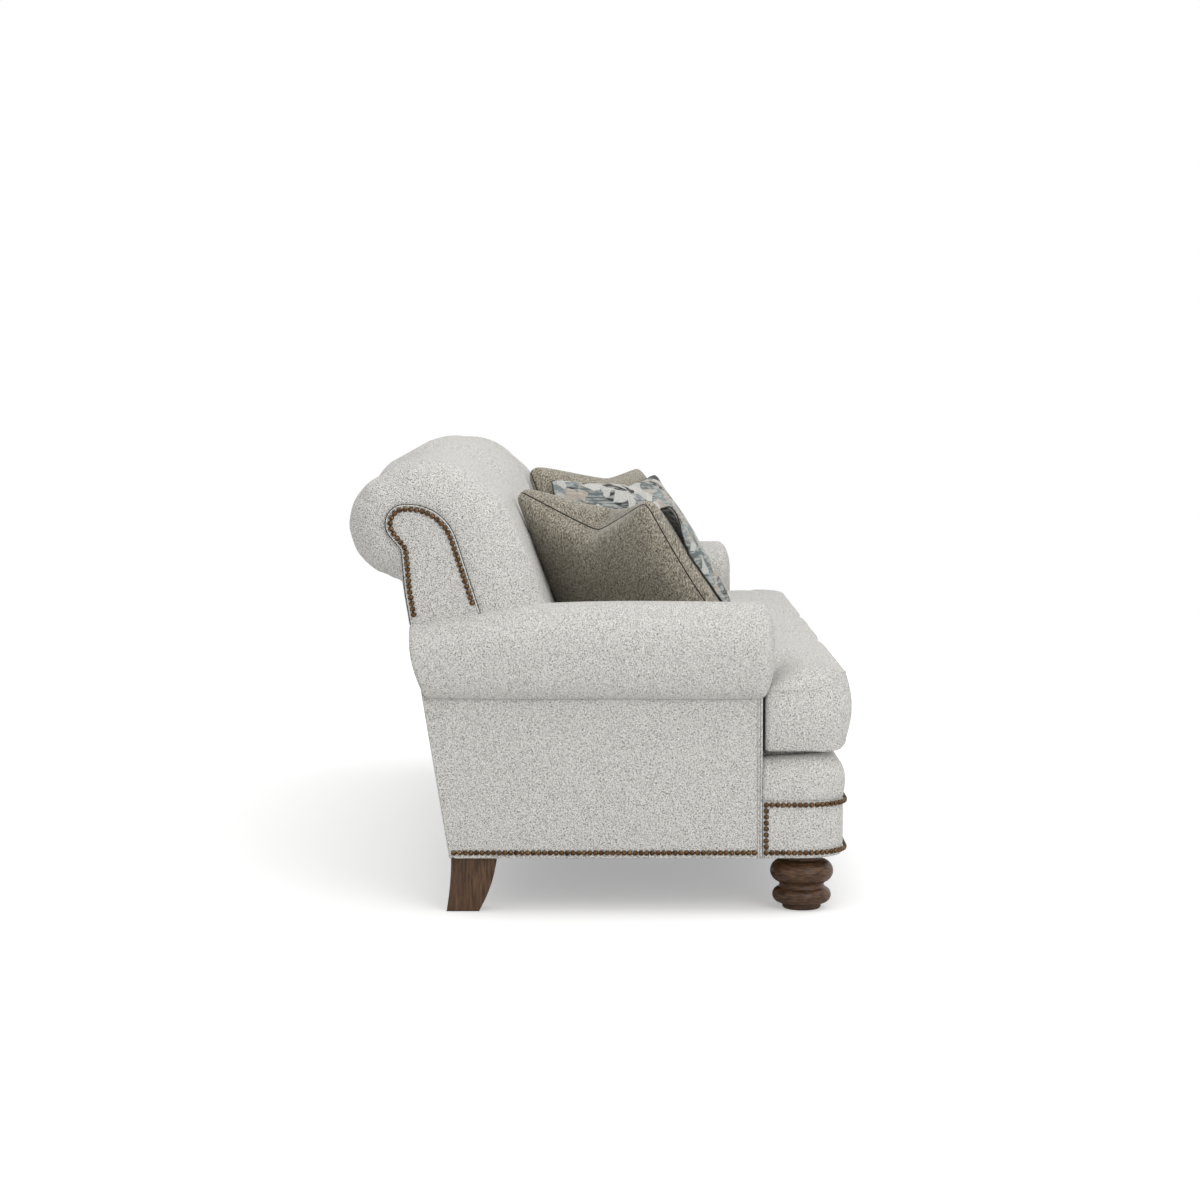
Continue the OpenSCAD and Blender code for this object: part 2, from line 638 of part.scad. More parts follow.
// The lower row, with the short upright rows at both ends
module nails_band_bottom() {
    n = nail_count(row_top_z - row_low_z);
    color(bronze) {
        nail_row(row_low_z);
        for (d = [0, front_run]) for (i = [1:n - 1])
            on_band(d, row_low_z + (row_top_z - row_low_z) * i / n) nail_head();
    }
}
module nails_back(side) {
    path = scroll_outline(arm_h - 22, arm_h + 2, -7);
    l = path_len(path, len(path) - 1);
    n = nail_count(l);
    color(bronze) mirrored(side) for (i = [0:n]) let (p = place_on(path, l * i / n))
        translate([scroll_x + end_panel_t, p[0], p[1]]) rotate([0, 90, 0]) nail_head();
}

// Seat cushions, drawn on a grid in plan; the end cushions reach round in front of the arms
cushion_y0 = y_front + 6;
cushion_y1 = seat_back_y;
ear_x = panel_x - 14;
ear_y = facing_y - 10;
ear_drop = 32;
cushion_r = 78;
soft_edge = 95;
// Corner of the grid turned into a quarter round of radius r about c, outward along s
function round_corner(p, c, s, r) = let (u = (p[0] - c[0]) * s[0] / r, v = (p[1] - c[1]) * s[1] / r)
    u > 0 && v > 0
        ? [c[0] + s[0] * r * u * sqrt(1 - v * v / 2), c[1] + s[1] * r * v * sqrt(1 - u * u / 2)] : p;
// Distance of p from the edge of a cushion from x0 to x1, whose ear reaches to x2
function edge_gap(p, x0, x1, x2) = let (
    d0 = p[0] - x0, d2 = x2 - p[0], df = p[1] - cushion_y0, db = cushion_y1 - p[1],
    de = ear_y - p[1], da = x1 - p[0],
    notch = x2 <= x1 ? sofa_w : p[0] > x1 ? de : p[1] < ear_y ? norm([max(da, 0), max(de, 0)]) : da)
    min(d0, d2, df, db, notch);
// Height of the edge seam over p: lower where the ear tucks under the roll of the arm
function seam_z(p, x1) = seat_z + cushion_t
    - ear_drop * ramp((p[0] - x1 + 40) / 60) * ramp((p[1] - ear_y + 90) / 90);
function top_z(p, q, x0, x1, x2) = seam_z(q, x1) + crown_h * ramp(edge_gap(p, x0, x1, x2) / soft_edge);
bottom_rise = 20;
function low_z(p, x0, x1, x2) = seat_z + bottom_rise * (1 - ramp(edge_gap(p, x0, x1, x2) / 30));
// Stations of the boxed side between the lower and the upper seam: height share and bulge
boxing = [[0.25, 4], [0.55, 6], [0.8, 4]];
function shares(a, b, fs) = [for (f = fs) a + (b - a) * f];
module cushion(x0, x1, x2) {
    eared = x2 > x1;
    rise = [0, 14, 40, 95];
    front_ys = concat([for (d = rise) cushion_y0 + d], [ear_y - 34, ear_y - 10, ear_y]);
    ys = concat(front_ys, [ear_y + 14], shares(ear_y, cushion_y1, [0.25, 0.5, 0.75]),
        [for (i = [3:-1:0]) cushion_y1 - rise[i] * 0.8]);
    xs = concat([for (d = rise) x0 + d], shares(x0, x1, [0.36, 0.64]), [for (i = [3:-1:0]) x1 - rise[i]],
        eared ? concat([x1 + 16, x1 + 60], [for (i = [3:-1:0]) x2 - 0.8 * rise[i]]) : []);
    nx = len(xs);
    ny = len(ys);
    ear_i = eared ? search(x1, xs)[0] : nx - 1;
    ear_j = search(ear_y, ys)[0];
    function inside(i, j) = i < ear_i || j < ear_j;
    pts = [for (j = [0:ny - 1]) for (i = [0:nx - 1]) [xs[i], ys[j]]];
    moved = [for (p = pts)
        eared ? round_corner(p, [x2 - cushion_r, cushion_y0 + cushion_r], [1, -1], cushion_r) : p];
    top = [for (k = [0:nx * ny - 1]) [moved[k][0], moved[k][1], top_z(pts[k], moved[k], x0, x1, x2)]];
    low = [for (k = [0:nx * ny - 1]) [moved[k][0], moved[k][1], low_z(pts[k], x0, x1, x2)]];
    // Edge of the grid, walked once round
    loop = concat([for (i = [0:nx - 1]) i], [for (j = [1:ear_j]) j * nx + nx - 1],
        [for (i = [nx - 2:-1:ear_i]) if (eared) ear_j * nx + i],
        [for (j = [ear_j + 1:ny - 1]) j * nx + ear_i],
        [for (i = [ear_i - 1:-1:0]) (ny - 1) * nx + i], [for (j = [ny - 2:-1:1]) j * nx]);
    nl = len(loop);
    // Outward at the front and round the ear; flat where the neighbours, the arm and the back stand
    function out_of(k) = let (
        p = pts[loop[k]], a = moved[loop[(k + nl - 1) % nl]], b = moved[loop[(k + 1) % nl]])
        eared && p[0] > x1 && p[1] < ear_y - 1 ? [b[1] - a[1], a[0] - b[0]] / norm(b - a)
            : p[1] == ys[0] ? [0, -1] : [0, 0];
    sides = [for (s = boxing) for (k = [0:nl - 1]) let (t = top[loop[k]], l = low[loop[k]], o = out_of(k))
        [t[0] + o[0] * s[1], t[1] + o[1] * s[1], l[2] + (t[2] - l[2]) * s[0]]];
    nt = nx * ny;
    function rim(level, k) = level == 0 ? nt + loop[k % nl]
        : level == len(boxing) + 1 ? loop[k % nl] : 2 * nt + (level - 1) * nl + k % nl;
    faces = concat(
        [for (j = [0:ny - 2]) for (i = [0:nx - 2]) if (inside(i, j)) for (t = [0, 1])
            let (a = j * nx + i, b = a + 1, c = a + nx + 1, d = a + nx)
            t == 0 ? [a, c, b] : [a, d, c]],
        [for (j = [0:ny - 2]) for (i = [0:nx - 2]) if (inside(i, j)) for (t = [0, 1])
            let (a = nt + j * nx + i, b = a + 1, c = a + nx + 1, d = a + nx)
            t == 0 ? [a, b, c] : [a, c, d]],
        [for (v = [0:len(boxing)]) for (k = [0:nl - 1]) for (t = [0, 1])
            let (a = rim(v, k), b = rim(v, k + 1), c = rim(v + 1, k + 1), d = rim(v + 1, k))
            t == 0 ? [a, c, b] : [a, d, c]]);
    polyhedron(concat(top, low, sides), faces);
}
core_in = 34;
core_z = seat_z + (cushion_t - core_h) / 2;
module core_box(x0, x1, grow) {
    block([x0 + core_in - grow, cushion_y0 + core_in - grow, core_z - grow],
        [x1 - core_in + grow, cushion_y1 - core_in + grow, core_z + core_h + grow]);
}
middle_x = bay_half - loose_gap / 2;
bay_x = bay_half + loose_gap / 2;
arm_x = inner_x - loose_gap;
module end_cushion(side) {
    color(cloth) mirrored(side) difference() {
        cushion(bay_x, arm_x, ear_x);
        core_box(bay_x, arm_x, touch);
    }
}
module middle_cushion() {
    color(cloth) difference() {
        cushion(-middle_x, middle_x, 0);
        core_box(-middle_x, middle_x, touch);
    }
}
module end_core(side) {
    color(foam) mirrored(side) core_box(bay_x, arm_x, 0);
}
module middle_core() {
    color(foam) core_box(-middle_x, middle_x, 0);
}

// Throw pillows: a plain one across each corner of the seat, and a patterned one leaning on it
pillow_n = 10;
pillow_up = pillow_w / 2;
pillow_down = pillow_h - pillow_up;
crown_z = seat_z + cushion_t + crown_h;
pillow_at = [inner_x - pillow_in - pillow_up * cos(pillow_yaw),
    seat_back_y - pillow_fore - pillow_up * sin(pillow_yaw), crown_z + pillow_down * cos(pillow_lean) - 4];
yaw_u = [-cos(pillow_yaw), sin(pillow_yaw), 0];
yaw_h = [-sin(pillow_yaw), -cos(pillow_yaw), 0];
lean_v = cos(pillow_lean) * [0, 0, 1] - sin(pillow_lean) * yaw_h;
lean_n = cos(pillow_lean) * yaw_h + sin(pillow_lean) * [0, 0, 1];
function plump(t) = pow(max(0, 1 - t * t), 0.55);
// Place in the plane of a pillow for a and b from -1 to 1, with drawn in sides and a dented top
function pillow_xy(a, b) = [
    a * pillow_w / 2 * (1 - 0.07 * (1 - b * b)),
    b > 0 ? b * pillow_up * (1 - 0.04 * (1 - a * a)) - pillow_dent * exp(-pow(a / 0.42, 2)) * pow(b, 1.6)
        : b * pillow_down * (1 - 0.03 * (1 - a * a))];
// The pillows are soft, so their lower inner corner settles back under the padding
function pillow_point(x, y, n) = pillow_at + x * yaw_u + y * lean_v + n * lean_n
    + [0, pillow_tuck * (x / pillow_w + 0.5) * (pillow_up - y) / pillow_h, 0];
// Closed cushion from its front and rear heights over the plane; both meet round the seam
module pillow_skin(size, shift, front, rear) {
    n = pillow_n;
    m = n + 1;
    function spread(i) = sin(90 * (2 * i / n - 1));
    function edge(i, j) = i == 0 || j == 0 || i == n || j == n;
    function placed(a, b) = let (p = pillow_xy(a, b))
        shift + [p[0] * size[0] / pillow_w, p[1] * size[1] / pillow_h];
    ij = [for (j = [0:n]) for (i = [0:n]) [i, j]];
    front_pts = [for (k = ij) let (a = spread(k[0]), b = spread(k[1]), p = placed(a, b))
        pillow_point(p[0], p[1], front(a, b, p))];
    inner_ij = [for (k = ij) if (!edge(k[0], k[1])) k];
    rear_pts = [for (k = inner_ij) let (a = spread(k[0]), b = spread(k[1]), p = placed(a, b))
        pillow_point(p[0], p[1], rear(a, b, p))];
    function back_id(i, j) = edge(i, j) ? j * m + i : m * m + (j - 1) * (n - 1) + i - 1;
    faces = [for (j = [0:n - 1]) for (i = [0:n - 1]) for (t = [0:3])
        let (a = j * m + i, b = a + 1, c = a + m + 1, d = a + m,
            e = back_id(i, j), f = back_id(i + 1, j), g = back_id(i + 1, j + 1), h = back_id(i, j + 1))
        t == 0 ? [a, b, c] : t == 1 ? [a, c, d] : t == 2 ? [e, g, f] : [e, h, g]];
    polyhedron(concat(front_pts, rear_pts), faces);
}
function full_height(a, b) = pillow_t / 2 * plump(a) * plump(b);
// A pillow lies flat where it rests on the seat
module seated() {
    difference() {
        children();
        block([0, y_front, crown_z - 2 * crown_h], [half_w, y_back, crown_z + touch]);
    }
}
module pillow_plain(side) {
    color(taupe) mirrored(side) seated() pillow_skin([pillow_w, pillow_h], [0, 0],
        function (a, b, p) full_height(a, b), function (a, b, p) -full_height(a, b));
}
// The patterned pillow lies on the face of the plain one and stands a little lower
pattern_shift = [12, -60];
pattern_off = 58;
pillow_gap = 1.6;
function settle(t) = exp(-0.55 * pow(t, 2) - 0.8 * pow(t, 8));
function rest_on(p) = pattern_off + pillow_gap + (pillow_t / 2 - pattern_off)
    * settle(p[0] * 2 / pillow_w) * settle(p[1] / pillow_up);
module pillow_patterned(side) {
    color(pattern_tint) mirrored(side) seated() pillow_skin([pattern_w, pattern_h], pattern_shift,
        function (a, b, p) rest_on(p) + pattern_t * plump(a) * plump(b), function (a, b, p) rest_on(p));
}

front_rail();
back_rail();
side_rail(1);  // side_rail_left
side_rail(-1);  // side_rail_right
seat_stretchers();
front_corner_blocks();
rear_corner_blocks();
seat_rear_rail();
back_tack_rail();
arm_post(1);  // arm_post_left
arm_post(-1);  // arm_post_right
arm_board(1);  // arm_board_left
arm_board(-1);  // arm_board_right
back_post(1);  // back_post_left
back_post(-1);  // back_post_right
back_uprights();
back_top_rail();
seat_springs();
spring_clips();
back_webbing();
deck_pad();
dust_cover();
front_band();
front_edge_pad();
arm_roll(1);  // arm_roll_left
arm_roll(-1);  // arm_roll_right
inside_arm(1);  // inside_arm_left
inside_arm(-1);  // inside_arm_right
outside_arm(1);  // outside_arm_left
outside_arm(-1);  // outside_arm_right
arm_facing(1);  // arm_facing_left
arm_facing(-1);  // arm_facing_right
back_pad(side_xs);  // back_pad_left
back_pad(middle_xs);  // back_pad_middle
mirror([1, 0, 0]) back_pad(side_xs);  // back_pad_right
back_end(1);  // back_end_left
back_end(-1);  // back_end_right
outside_back();
front_foot(1);  // front_foot_left
front_foot(-1);  // front_foot_right
rear_leg(1);  // rear_leg_left
rear_leg(-1);  // rear_leg_right
foot_bolts();
nails_side(1);  // nails_side_left
nails_side(-1);  // nails_side_right
nails_band_top();
nails_band_bottom();
nails_back(1);  // nails_back_left
nails_back(-1);  // nails_back_right
end_cushion(1);  // cushion_left
middle_cushion();  // cushion_middle
end_cushion(-1);  // cushion_right
end_core(1);  // core_left
middle_core();  // core_middle
end_core(-1);  // core_right
pillow_plain(1);  // pillow_plain_left
pillow_plain(-1);  // pillow_plain_right
pillow_patterned(1);  // pillow_patterned_left
pillow_patterned(-1);  // pillow_patterned_right
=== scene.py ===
# %% [markdown]
# This lesson dresses the plain solids of a three seat sofa with padding, cloth, welts, nails and
# stained wood. The solids come in as a fixed frame, already in metres, with the front towards -Y,
# so every piece below is drawn where the solid it covers stands.

# %% Load the frame
import json
import math

import bpy
import numpy as np
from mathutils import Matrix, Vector
from mathutils.bvhtree import BVHTree


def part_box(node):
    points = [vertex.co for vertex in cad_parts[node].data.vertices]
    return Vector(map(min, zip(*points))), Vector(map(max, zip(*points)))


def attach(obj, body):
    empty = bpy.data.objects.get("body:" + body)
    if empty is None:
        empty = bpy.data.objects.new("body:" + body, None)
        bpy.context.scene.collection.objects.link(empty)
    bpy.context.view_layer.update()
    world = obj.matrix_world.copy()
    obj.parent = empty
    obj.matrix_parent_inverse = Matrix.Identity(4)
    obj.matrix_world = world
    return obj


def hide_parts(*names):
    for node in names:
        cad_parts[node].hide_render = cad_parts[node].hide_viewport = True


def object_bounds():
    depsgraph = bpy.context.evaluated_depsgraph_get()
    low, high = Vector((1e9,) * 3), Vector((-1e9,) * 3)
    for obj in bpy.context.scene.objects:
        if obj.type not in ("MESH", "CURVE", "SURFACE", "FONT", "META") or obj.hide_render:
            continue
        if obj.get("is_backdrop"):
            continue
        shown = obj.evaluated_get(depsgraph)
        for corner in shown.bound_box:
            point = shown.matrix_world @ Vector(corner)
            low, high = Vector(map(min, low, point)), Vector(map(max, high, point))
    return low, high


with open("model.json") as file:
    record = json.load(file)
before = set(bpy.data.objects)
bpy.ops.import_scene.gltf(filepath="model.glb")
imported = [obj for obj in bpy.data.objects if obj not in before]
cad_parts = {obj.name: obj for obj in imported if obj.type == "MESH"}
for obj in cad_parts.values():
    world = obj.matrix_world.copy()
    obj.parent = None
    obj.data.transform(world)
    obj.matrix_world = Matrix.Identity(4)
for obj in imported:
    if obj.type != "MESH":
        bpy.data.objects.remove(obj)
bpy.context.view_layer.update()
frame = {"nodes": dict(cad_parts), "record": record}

# %% [markdown]
# An upholsterer works from a few lines: the plane of the arms, the plane of the deck, the rake of
# the back. They are read off the boxes of the solids where a box says it, and written as numbers
# where it doesn't, so the padding follows the frame.

# %% Lines that the upholstery is cut to
HALF_W = 1.118
ARM_IN = 0.878
PANEL_X = 1.073
BAY = 0.300
FRONT_Y, REAR_Y = -0.526, 0.526
BAND_Y = FRONT_Y + 0.008
FACING_Y = FRONT_Y + 0.179
FOOT_H, ARM_TOP, BACK_TOP = 0.114, 0.637, 0.950
BAND_Z = FOOT_H + 0.121
EDGE_Z = BAND_Z + 0.093
SEAT_Z = EDGE_Z + 0.003
BOARD_Z = ARM_TOP - 0.187
SEAT_BACK_Y = REAR_Y - 0.486
SCROLL_X = 1.046
END_X = SCROLL_X + 0.012
SCROLL_R = 0.037
RAKE = 0.165


def rear_y(z):
    """Rear face of the frame at height z."""
    return REAR_Y - 0.235 + RAKE * (z - FOOT_H)


SCROLL_Z = BACK_TOP - 0.150
SCROLL_Y = rear_y(SCROLL_Z) - 0.020
UNDER_Z = SCROLL_Z - 0.136
NECK = (SCROLL_Y + 0.005, SCROLL_Z - 0.051)
print("scroll at", round(SCROLL_Y, 3), round(SCROLL_Z, 3))

# %% [markdown]
# Most pieces are surfaces through rows of points. One helper makes an object of points and faces,
# and another draws a skin through rings, closes its ends, and makes the piece of the other side
# by turning the sign of x and the order of the corners.

# %% Meshes from rows of points
def mesh_piece(name, points, faces, smooth=True):
    """A new object from points and faces, shaded smooth."""
    mesh = bpy.data.meshes.new(name)
    mesh.from_pydata([tuple(map(float, p)) for p in points], [], faces)
    mesh.update()
    mesh.polygons.foreach_set("use_smooth", [smooth] * len(mesh.polygons))
    made = bpy.data.objects.new(name, mesh)
    bpy.context.scene.collection.objects.link(made)
    return made


def row_faces(rows, columns, ring):
    """Quads of a grid of points; ring joins the last column to the first."""
    last = columns if ring else columns - 1
    return [(r * columns + c, r * columns + (c + 1) % columns,
             (r + 1) * columns + (c + 1) % columns, (r + 1) * columns + c)
            for r in range(rows - 1) for c in range(last)]


def lofted(name, rings, side=1, capped=True):
    """A closed skin through rings of points, with its two ends drawn in to their middles."""
    rings = np.array(rings, float)
    rows, columns = rings.shape[:2]
    points = rings.reshape(-1, 3)
    faces = row_faces(rows, columns, True)
    if capped:
        for row, turn in ((0, True), (rows - 1, False)):
            middle = len(points)
            points = np.vstack([points, rings[row].mean(0)])
            for c in range(columns):
                a, b = row * columns + c, row * columns + (c + 1) % columns
                faces.append((middle, b, a) if turn else (middle, a, b))
    if side < 0:
        points = points * [-1, 1, 1]
        faces = [f[::-1] for f in faces]
    made = mesh_piece(name, points, faces)
    outward(made)
    return made


def outward(made):
    """Turns all faces outward."""
    mesh = made.data
    volume = sum(p.center.dot(p.normal) * p.area for p in mesh.polygons)
    if volume < 0:
        mesh.flip_normals()


print("objects are made by", mesh_piece.__name__, "and skins by", lofted.__name__)

# %% [markdown]
# The lines that the pieces follow are arcs and spread points. Hand work is never quite even, so a
# slow noise, made of a few sine waves, moves their surfaces by a millimetre or so.

# %% Arcs, spread points and a slow noise
def arc(cy, cz, r, a0, a1, n):
    """n + 1 points round a circle in the YZ plane, angles in degrees."""
    a = np.radians(np.linspace(a0, a1, n + 1))
    return np.stack([cy + r * np.cos(a), cz + r * np.sin(a)], 1)


def along(path, n, closed=False):
    """n points spread evenly over a path."""
    path = np.array(path, float)
    if closed:
        path = np.vstack([path, path[:1]])
    d = np.r_[0, np.cumsum(np.linalg.norm(np.diff(path, axis=0), axis=1))]
    t = np.linspace(0, d[-1], n + (1 if closed else 0))
    out = np.stack([np.interp(t, d, path[:, k]) for k in range(path.shape[1])], 1)
    return out[:-1] if closed else out


def noise_at(points, size, seed=0):
    """A smooth value from -1 to 1 at each point, with swells about size metres long."""
    rng = np.random.default_rng(seed)
    points = np.asarray(points, float)
    total = np.zeros(points.shape[:-1])
    for _ in range(7):
        direction = rng.normal(size=3)
        direction *= 2 * math.pi / size / np.linalg.norm(direction) * rng.uniform(0.6, 1.4)
        total += np.sin(points @ direction + rng.uniform(0, 2 * math.pi))
    return total / 4.5


print("the noise at one place is", round(float(noise_at([0.1, 0.2, 0.3], 0.1)), 3))

# %% [markdown]
# The cover is a pale woven cloth: short loops of yarn with darker flecks between them. A fine
# cell pattern gives the loops, and a noise of the same grain tells which of them are dark. The
# loops also darken towards their rims, painted shade in the hollows of the weave. The same values
# drive the bump, so the flecks sit in the hollows of the weave. All of it is placed by object
# coordinates, so no piece needs unwrapping.

# %% The pale woven cloth
def new_material(name, rough, sheen=0.0):
    """A material with its shader, and a helper that adds nodes to it."""
    material = bpy.data.materials.new(name)
    material.use_nodes = True
    tree = material.node_tree
    shader = tree.nodes["Principled BSDF"]
    shader.inputs["Roughness"].default_value = rough
    shader.inputs["Sheen Weight"].default_value = sheen
    shader.inputs["Specular IOR Level"].default_value = 0.25

    def add(kind, links=(), **values):
        node = tree.nodes.new(kind)
        for key, value in values.items():
            if hasattr(node, key):
                setattr(node, key, value)
            else:
                node.inputs[key.replace("_", " ")].default_value = value
        for socket, source in links:
            tree.links.new(source, node.inputs[socket])
        return node

    return material, tree, shader, add


def ramp(add, source, stops):
    """A colour ramp through (place, colour) stops."""
    node = add("ShaderNodeValToRGB", [("Fac", source)])
    band = node.color_ramp
    while len(band.elements) < len(stops):
        band.elements.new(0.5)
    for element, (place, colour) in zip(band.elements, stops):
        element.position = place
        element.color = (*colour, 1) if len(colour) == 3 else (colour[0],) * 3 + (1,)
    return node.outputs["Color"]


def linear(r, g, b):
    """Screen colour, 0 to 255, as the shader wants it."""
    return tuple(((c / 255 + 0.055) / 1.055) ** 2.4 if c > 10 else c / 3294.6 for c in (r, g, b))


def woven(name, light, mid, dark, loop, bump):
    """Cloth of short loops, loop of them per metre, turned so that no flat panel lies in its grid."""
    material, tree, shader, add = new_material(name, 0.92, 0.12)
    straight = add("ShaderNodeTexCoord").outputs["Object"]
    place = add("ShaderNodeMapping", [("Vector", straight)], Rotation=(0.6, 0.4, 0.5)).outputs[0]
    cells = add("ShaderNodeTexVoronoi", [("Vector", place)], Scale=loop, Randomness=0.85)
    grain = add("ShaderNodeTexNoise", [("Vector", place)], Scale=loop * 0.9, Detail=4.0, Roughness=0.75)
    slub = add("ShaderNodeTexNoise", [("Vector", place)], Scale=loop * 0.16, Detail=2.0)
    tone = ramp(add, grain.outputs["Fac"], [(0.38, dark), (0.47, mid), (0.60, light)])
    # painted shade: each loop darkens towards its rim, in the hollows between the loops
    loop_hollow_shade = ramp(add, cells.outputs["Distance"], [(0.15, (1.0,)), (0.62, (0.80,))])
    drift = ramp(add, slub.outputs["Fac"], [(0.35, (0.975,)), (0.65, (1.0,))])
    first = add("ShaderNodeMix", data_type="RGBA", blend_type="MULTIPLY")
    second = add("ShaderNodeMix", data_type="RGBA", blend_type="MULTIPLY")
    for mix, a, b in ((first, tone, loop_hollow_shade), (second, first.outputs[2], drift)):
        mix.inputs[0].default_value = 1.0
        tree.links.new(a, mix.inputs[6])
        tree.links.new(b, mix.inputs[7])
    tree.links.new(second.outputs[2], shader.inputs["Base Color"])
    loops, flecks = cells.outputs["Distance"], grain.outputs["Fac"]
    height = add("ShaderNodeMath", [(0, loops), (1, flecks)], operation="SUBTRACT")
    relief = add("ShaderNodeBump", [("Height", height.outputs[0])], Strength=bump,
                 Distance=0.0012, invert=True)
    tree.links.new(relief.outputs["Normal"], shader.inputs["Normal"])
    return material


CLOTH = woven("pale_woven_cloth", light=linear(250, 249, 244), mid=linear(217, 215, 210),
              dark=linear(74, 70, 62), loop=470, bump=0.85)


def gap_shadow_paint():
    """Painted shadow: near-black tones for the shaded gap outside the welt of the end panels."""
    material, tree, shader, add = new_material("gap_shadow_paint", 0.9)
    place = add("ShaderNodeTexCoord").outputs["Object"]
    shadow_mottle = add("ShaderNodeTexNoise", [("Vector", place)], Scale=700.0, Detail=2.0)
    tone = ramp(add, shadow_mottle.outputs["Fac"], [(0.35, linear(22, 21, 20)), (0.65, linear(58, 55, 52))])
    tree.links.new(tone, shader.inputs["Base Color"])
    return material


# painted shadow for the gap between the end welts and the padding
GAP_SHADOW = gap_shadow_paint()
print("cloth", CLOTH.name, "gap_shadow_tube", GAP_SHADOW.name)

# %% [markdown]
# A piece of this sofa needs three things said about it: its finish, the body it moves with and
# the solids it stands for, which are hidden. One call says them.

# %% Dressing a piece
def dress(made, material, slot, body, *nodes, fill=None):
    """Finish, body and solids of a piece; slot and fill are not used."""
    made.data.materials.clear()
    made.data.materials.append(material)
    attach(made, body)
    if nodes:
        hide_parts(*nodes)
    return made


SIDES = (("left", 1), ("right", -1))
print("sides", SIDES)

# %% [markdown]
# Soft forms start and stop gently, so most of the lines below are blended with one eased step
# that runs from nothing to one.

# %% Easing
def ease(t):
    """Eased step from 0 to 1."""
    t = np.clip(t, 0, 1)
    return t * t * (3 - 2 * t)


print("half way the step is", float(ease(0.5)))

# %% [markdown]
# A welt is a cord wrapped in cloth and sewn into a seam. It is drawn as a thin round tube swept
# along the line of the seam, in the same cloth as the panels that it joins.

# %% Welts
def welt(name, path, radius, closed=False, ends=True):
    """A tube of cloth along a path."""
    length = np.linalg.norm(np.diff(np.array(path, float), axis=0), axis=1).sum()
    points = along(path, max(8, int(length / 0.007)), closed)
    after, before = np.roll(points, -1, 0), np.roll(points, 1, 0)
    if not closed:
        after[-1], before[0] = points[-1], points[0]
    run = after - before
    run /= np.linalg.norm(run, axis=1)[:, None] + 1e-12
    side = np.cross(run, [0.31, 0.23, 0.92])
    side /= np.linalg.norm(side, axis=1)[:, None] + 1e-12
    up = np.cross(run, side)
    turns = np.linspace(0, 2 * math.pi, 9)[:-1]
    rings = [[p + radius * (math.cos(t) * s + math.sin(t) * u) for t in turns]
             for p, s, u in zip(points, side, up)]
    if closed:
        rings.append(rings[0])
    return lofted(name, rings, capped=ends and not closed)


print("welts are drawn by", welt.__name__)

# %% [markdown]
# The padding of the back is one fat roll sewn into three sections. Its inner line follows the
# scroll of the frame and its outer line the plump cloth. Both are built from arcs and straight
# stretches with as many points each, so that a place between them is simple to work out.

# %% Inner and outer line of the padding
BREAST_R = 2.65 * SCROLL_R
BREAST_Y, BREAST_Z = SCROLL_Y - 0.008, SCROLL_Z + SCROLL_R - BREAST_R
REAR_PAD = (SCROLL_Y + 0.012, SCROLL_Z - 0.005, SCROLL_R + 0.091)
TOP_R = REAR_PAD[2] + 0.047
TOP_PAD = (SCROLL_Y - 0.046, BACK_TOP - TOP_R, TOP_R)
FLANK_LEAN = math.radians(20.5)
PAD_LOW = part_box("back_pad_middle")[0].z
PAD_END = SCROLL_X + 0.005
SHOULDER = 0.100
SIDE_FILL = 0.82


def breast_line(z):
    """Front of the scroll board at height z."""
    lean = math.radians(17)
    top = BREAST_Z + BREAST_R * math.sin(lean)
    return BREAST_Y - BREAST_R * math.cos(lean) - (top - z) * math.tan(math.radians(18))


def flank(z):
    """Front of the padding at height z: upright behind the cushions, leaning above them."""
    turn = TOP_PAD[1] + TOP_R * math.sin(FLANK_LEAN)
    sloped = TOP_PAD[0] - TOP_R * math.cos(FLANK_LEAN) - (turn - z) * math.tan(FLANK_LEAN)
    upright = SEAT_BACK_Y + 0.004
    return 0.5 * (sloped + upright + math.hypot(sloped - upright, 0.018))


FLANK_ZS = [PAD_LOW + f * (BREAST_Z + 0.02 - PAD_LOW) for f in np.linspace(0.97, 0, 44)]
PAD_INNER = np.vstack([[[rear_y(UNDER_Z), UNDER_Z], NECK],
                       arc(SCROLL_Y, SCROLL_Z, SCROLL_R, -45, 90, 24),
                       arc(BREAST_Y, BREAST_Z, BREAST_R, 98, 163, 20),
                       [[breast_line(z), z] for z in FLANK_ZS]])
TAIL_Z = UNDER_Z + 0.020
PAD_OUTER = np.vstack([[[rear_y(TAIL_Z) + 0.009, TAIL_Z]], arc(*REAR_PAD, -80, 52, 25),
                       arc(*TOP_PAD, 70, 159.5, 20), [[flank(z), z] for z in FLANK_ZS]])
print("points in the inner and outer line", len(PAD_INNER), len(PAD_OUTER))

# %% [markdown]
# A section at x is the inner line plus a share of the way to the outer one. The share falls in a
# tight crease at both channels and rounds over at the ends, where the cloth is drawn in round the
# scroll. The two outer sections are a little less full than the middle one.

# %% Fullness of the padding
def channel_share(x):
    """Fullness across the sections: 1 in the middle of one, less in the crease."""
    t = abs(x) / BAY if abs(x) <= BAY else 1 - min(1, (abs(x) - BAY) / 0.30)
    return 1 - 0.33 * (1 - max(0, 1 - t ** 5) ** 0.42)


def end_share(x, z):
    """Shoulder where the cloth turns in to the end panel: wide above the arm, narrow behind it."""
    width = 0.012 + (SHOULDER - 0.012) * ease((z - ARM_TOP + 0.060) / 0.050)
    q = np.maximum(0, (abs(x) - (PAD_END - width)) / width)
    return (1 - 0.985 * q ** 2.3) ** (1 / 2.3)


def roll_share(x, line):
    """The roll of the outer sections is less full at the rear and the top than the middle one."""
    rear = ease((line[:, 0] - SCROLL_Y + 0.040) / 0.055)
    top = ease((line[:, 1] - SCROLL_Z) / 0.105)
    return 1 - (1 - SIDE_FILL) * np.maximum(rear, top) * ease((abs(x) - BAY) / 0.120)


print("fullness in a channel", round(channel_share(BAY), 2))

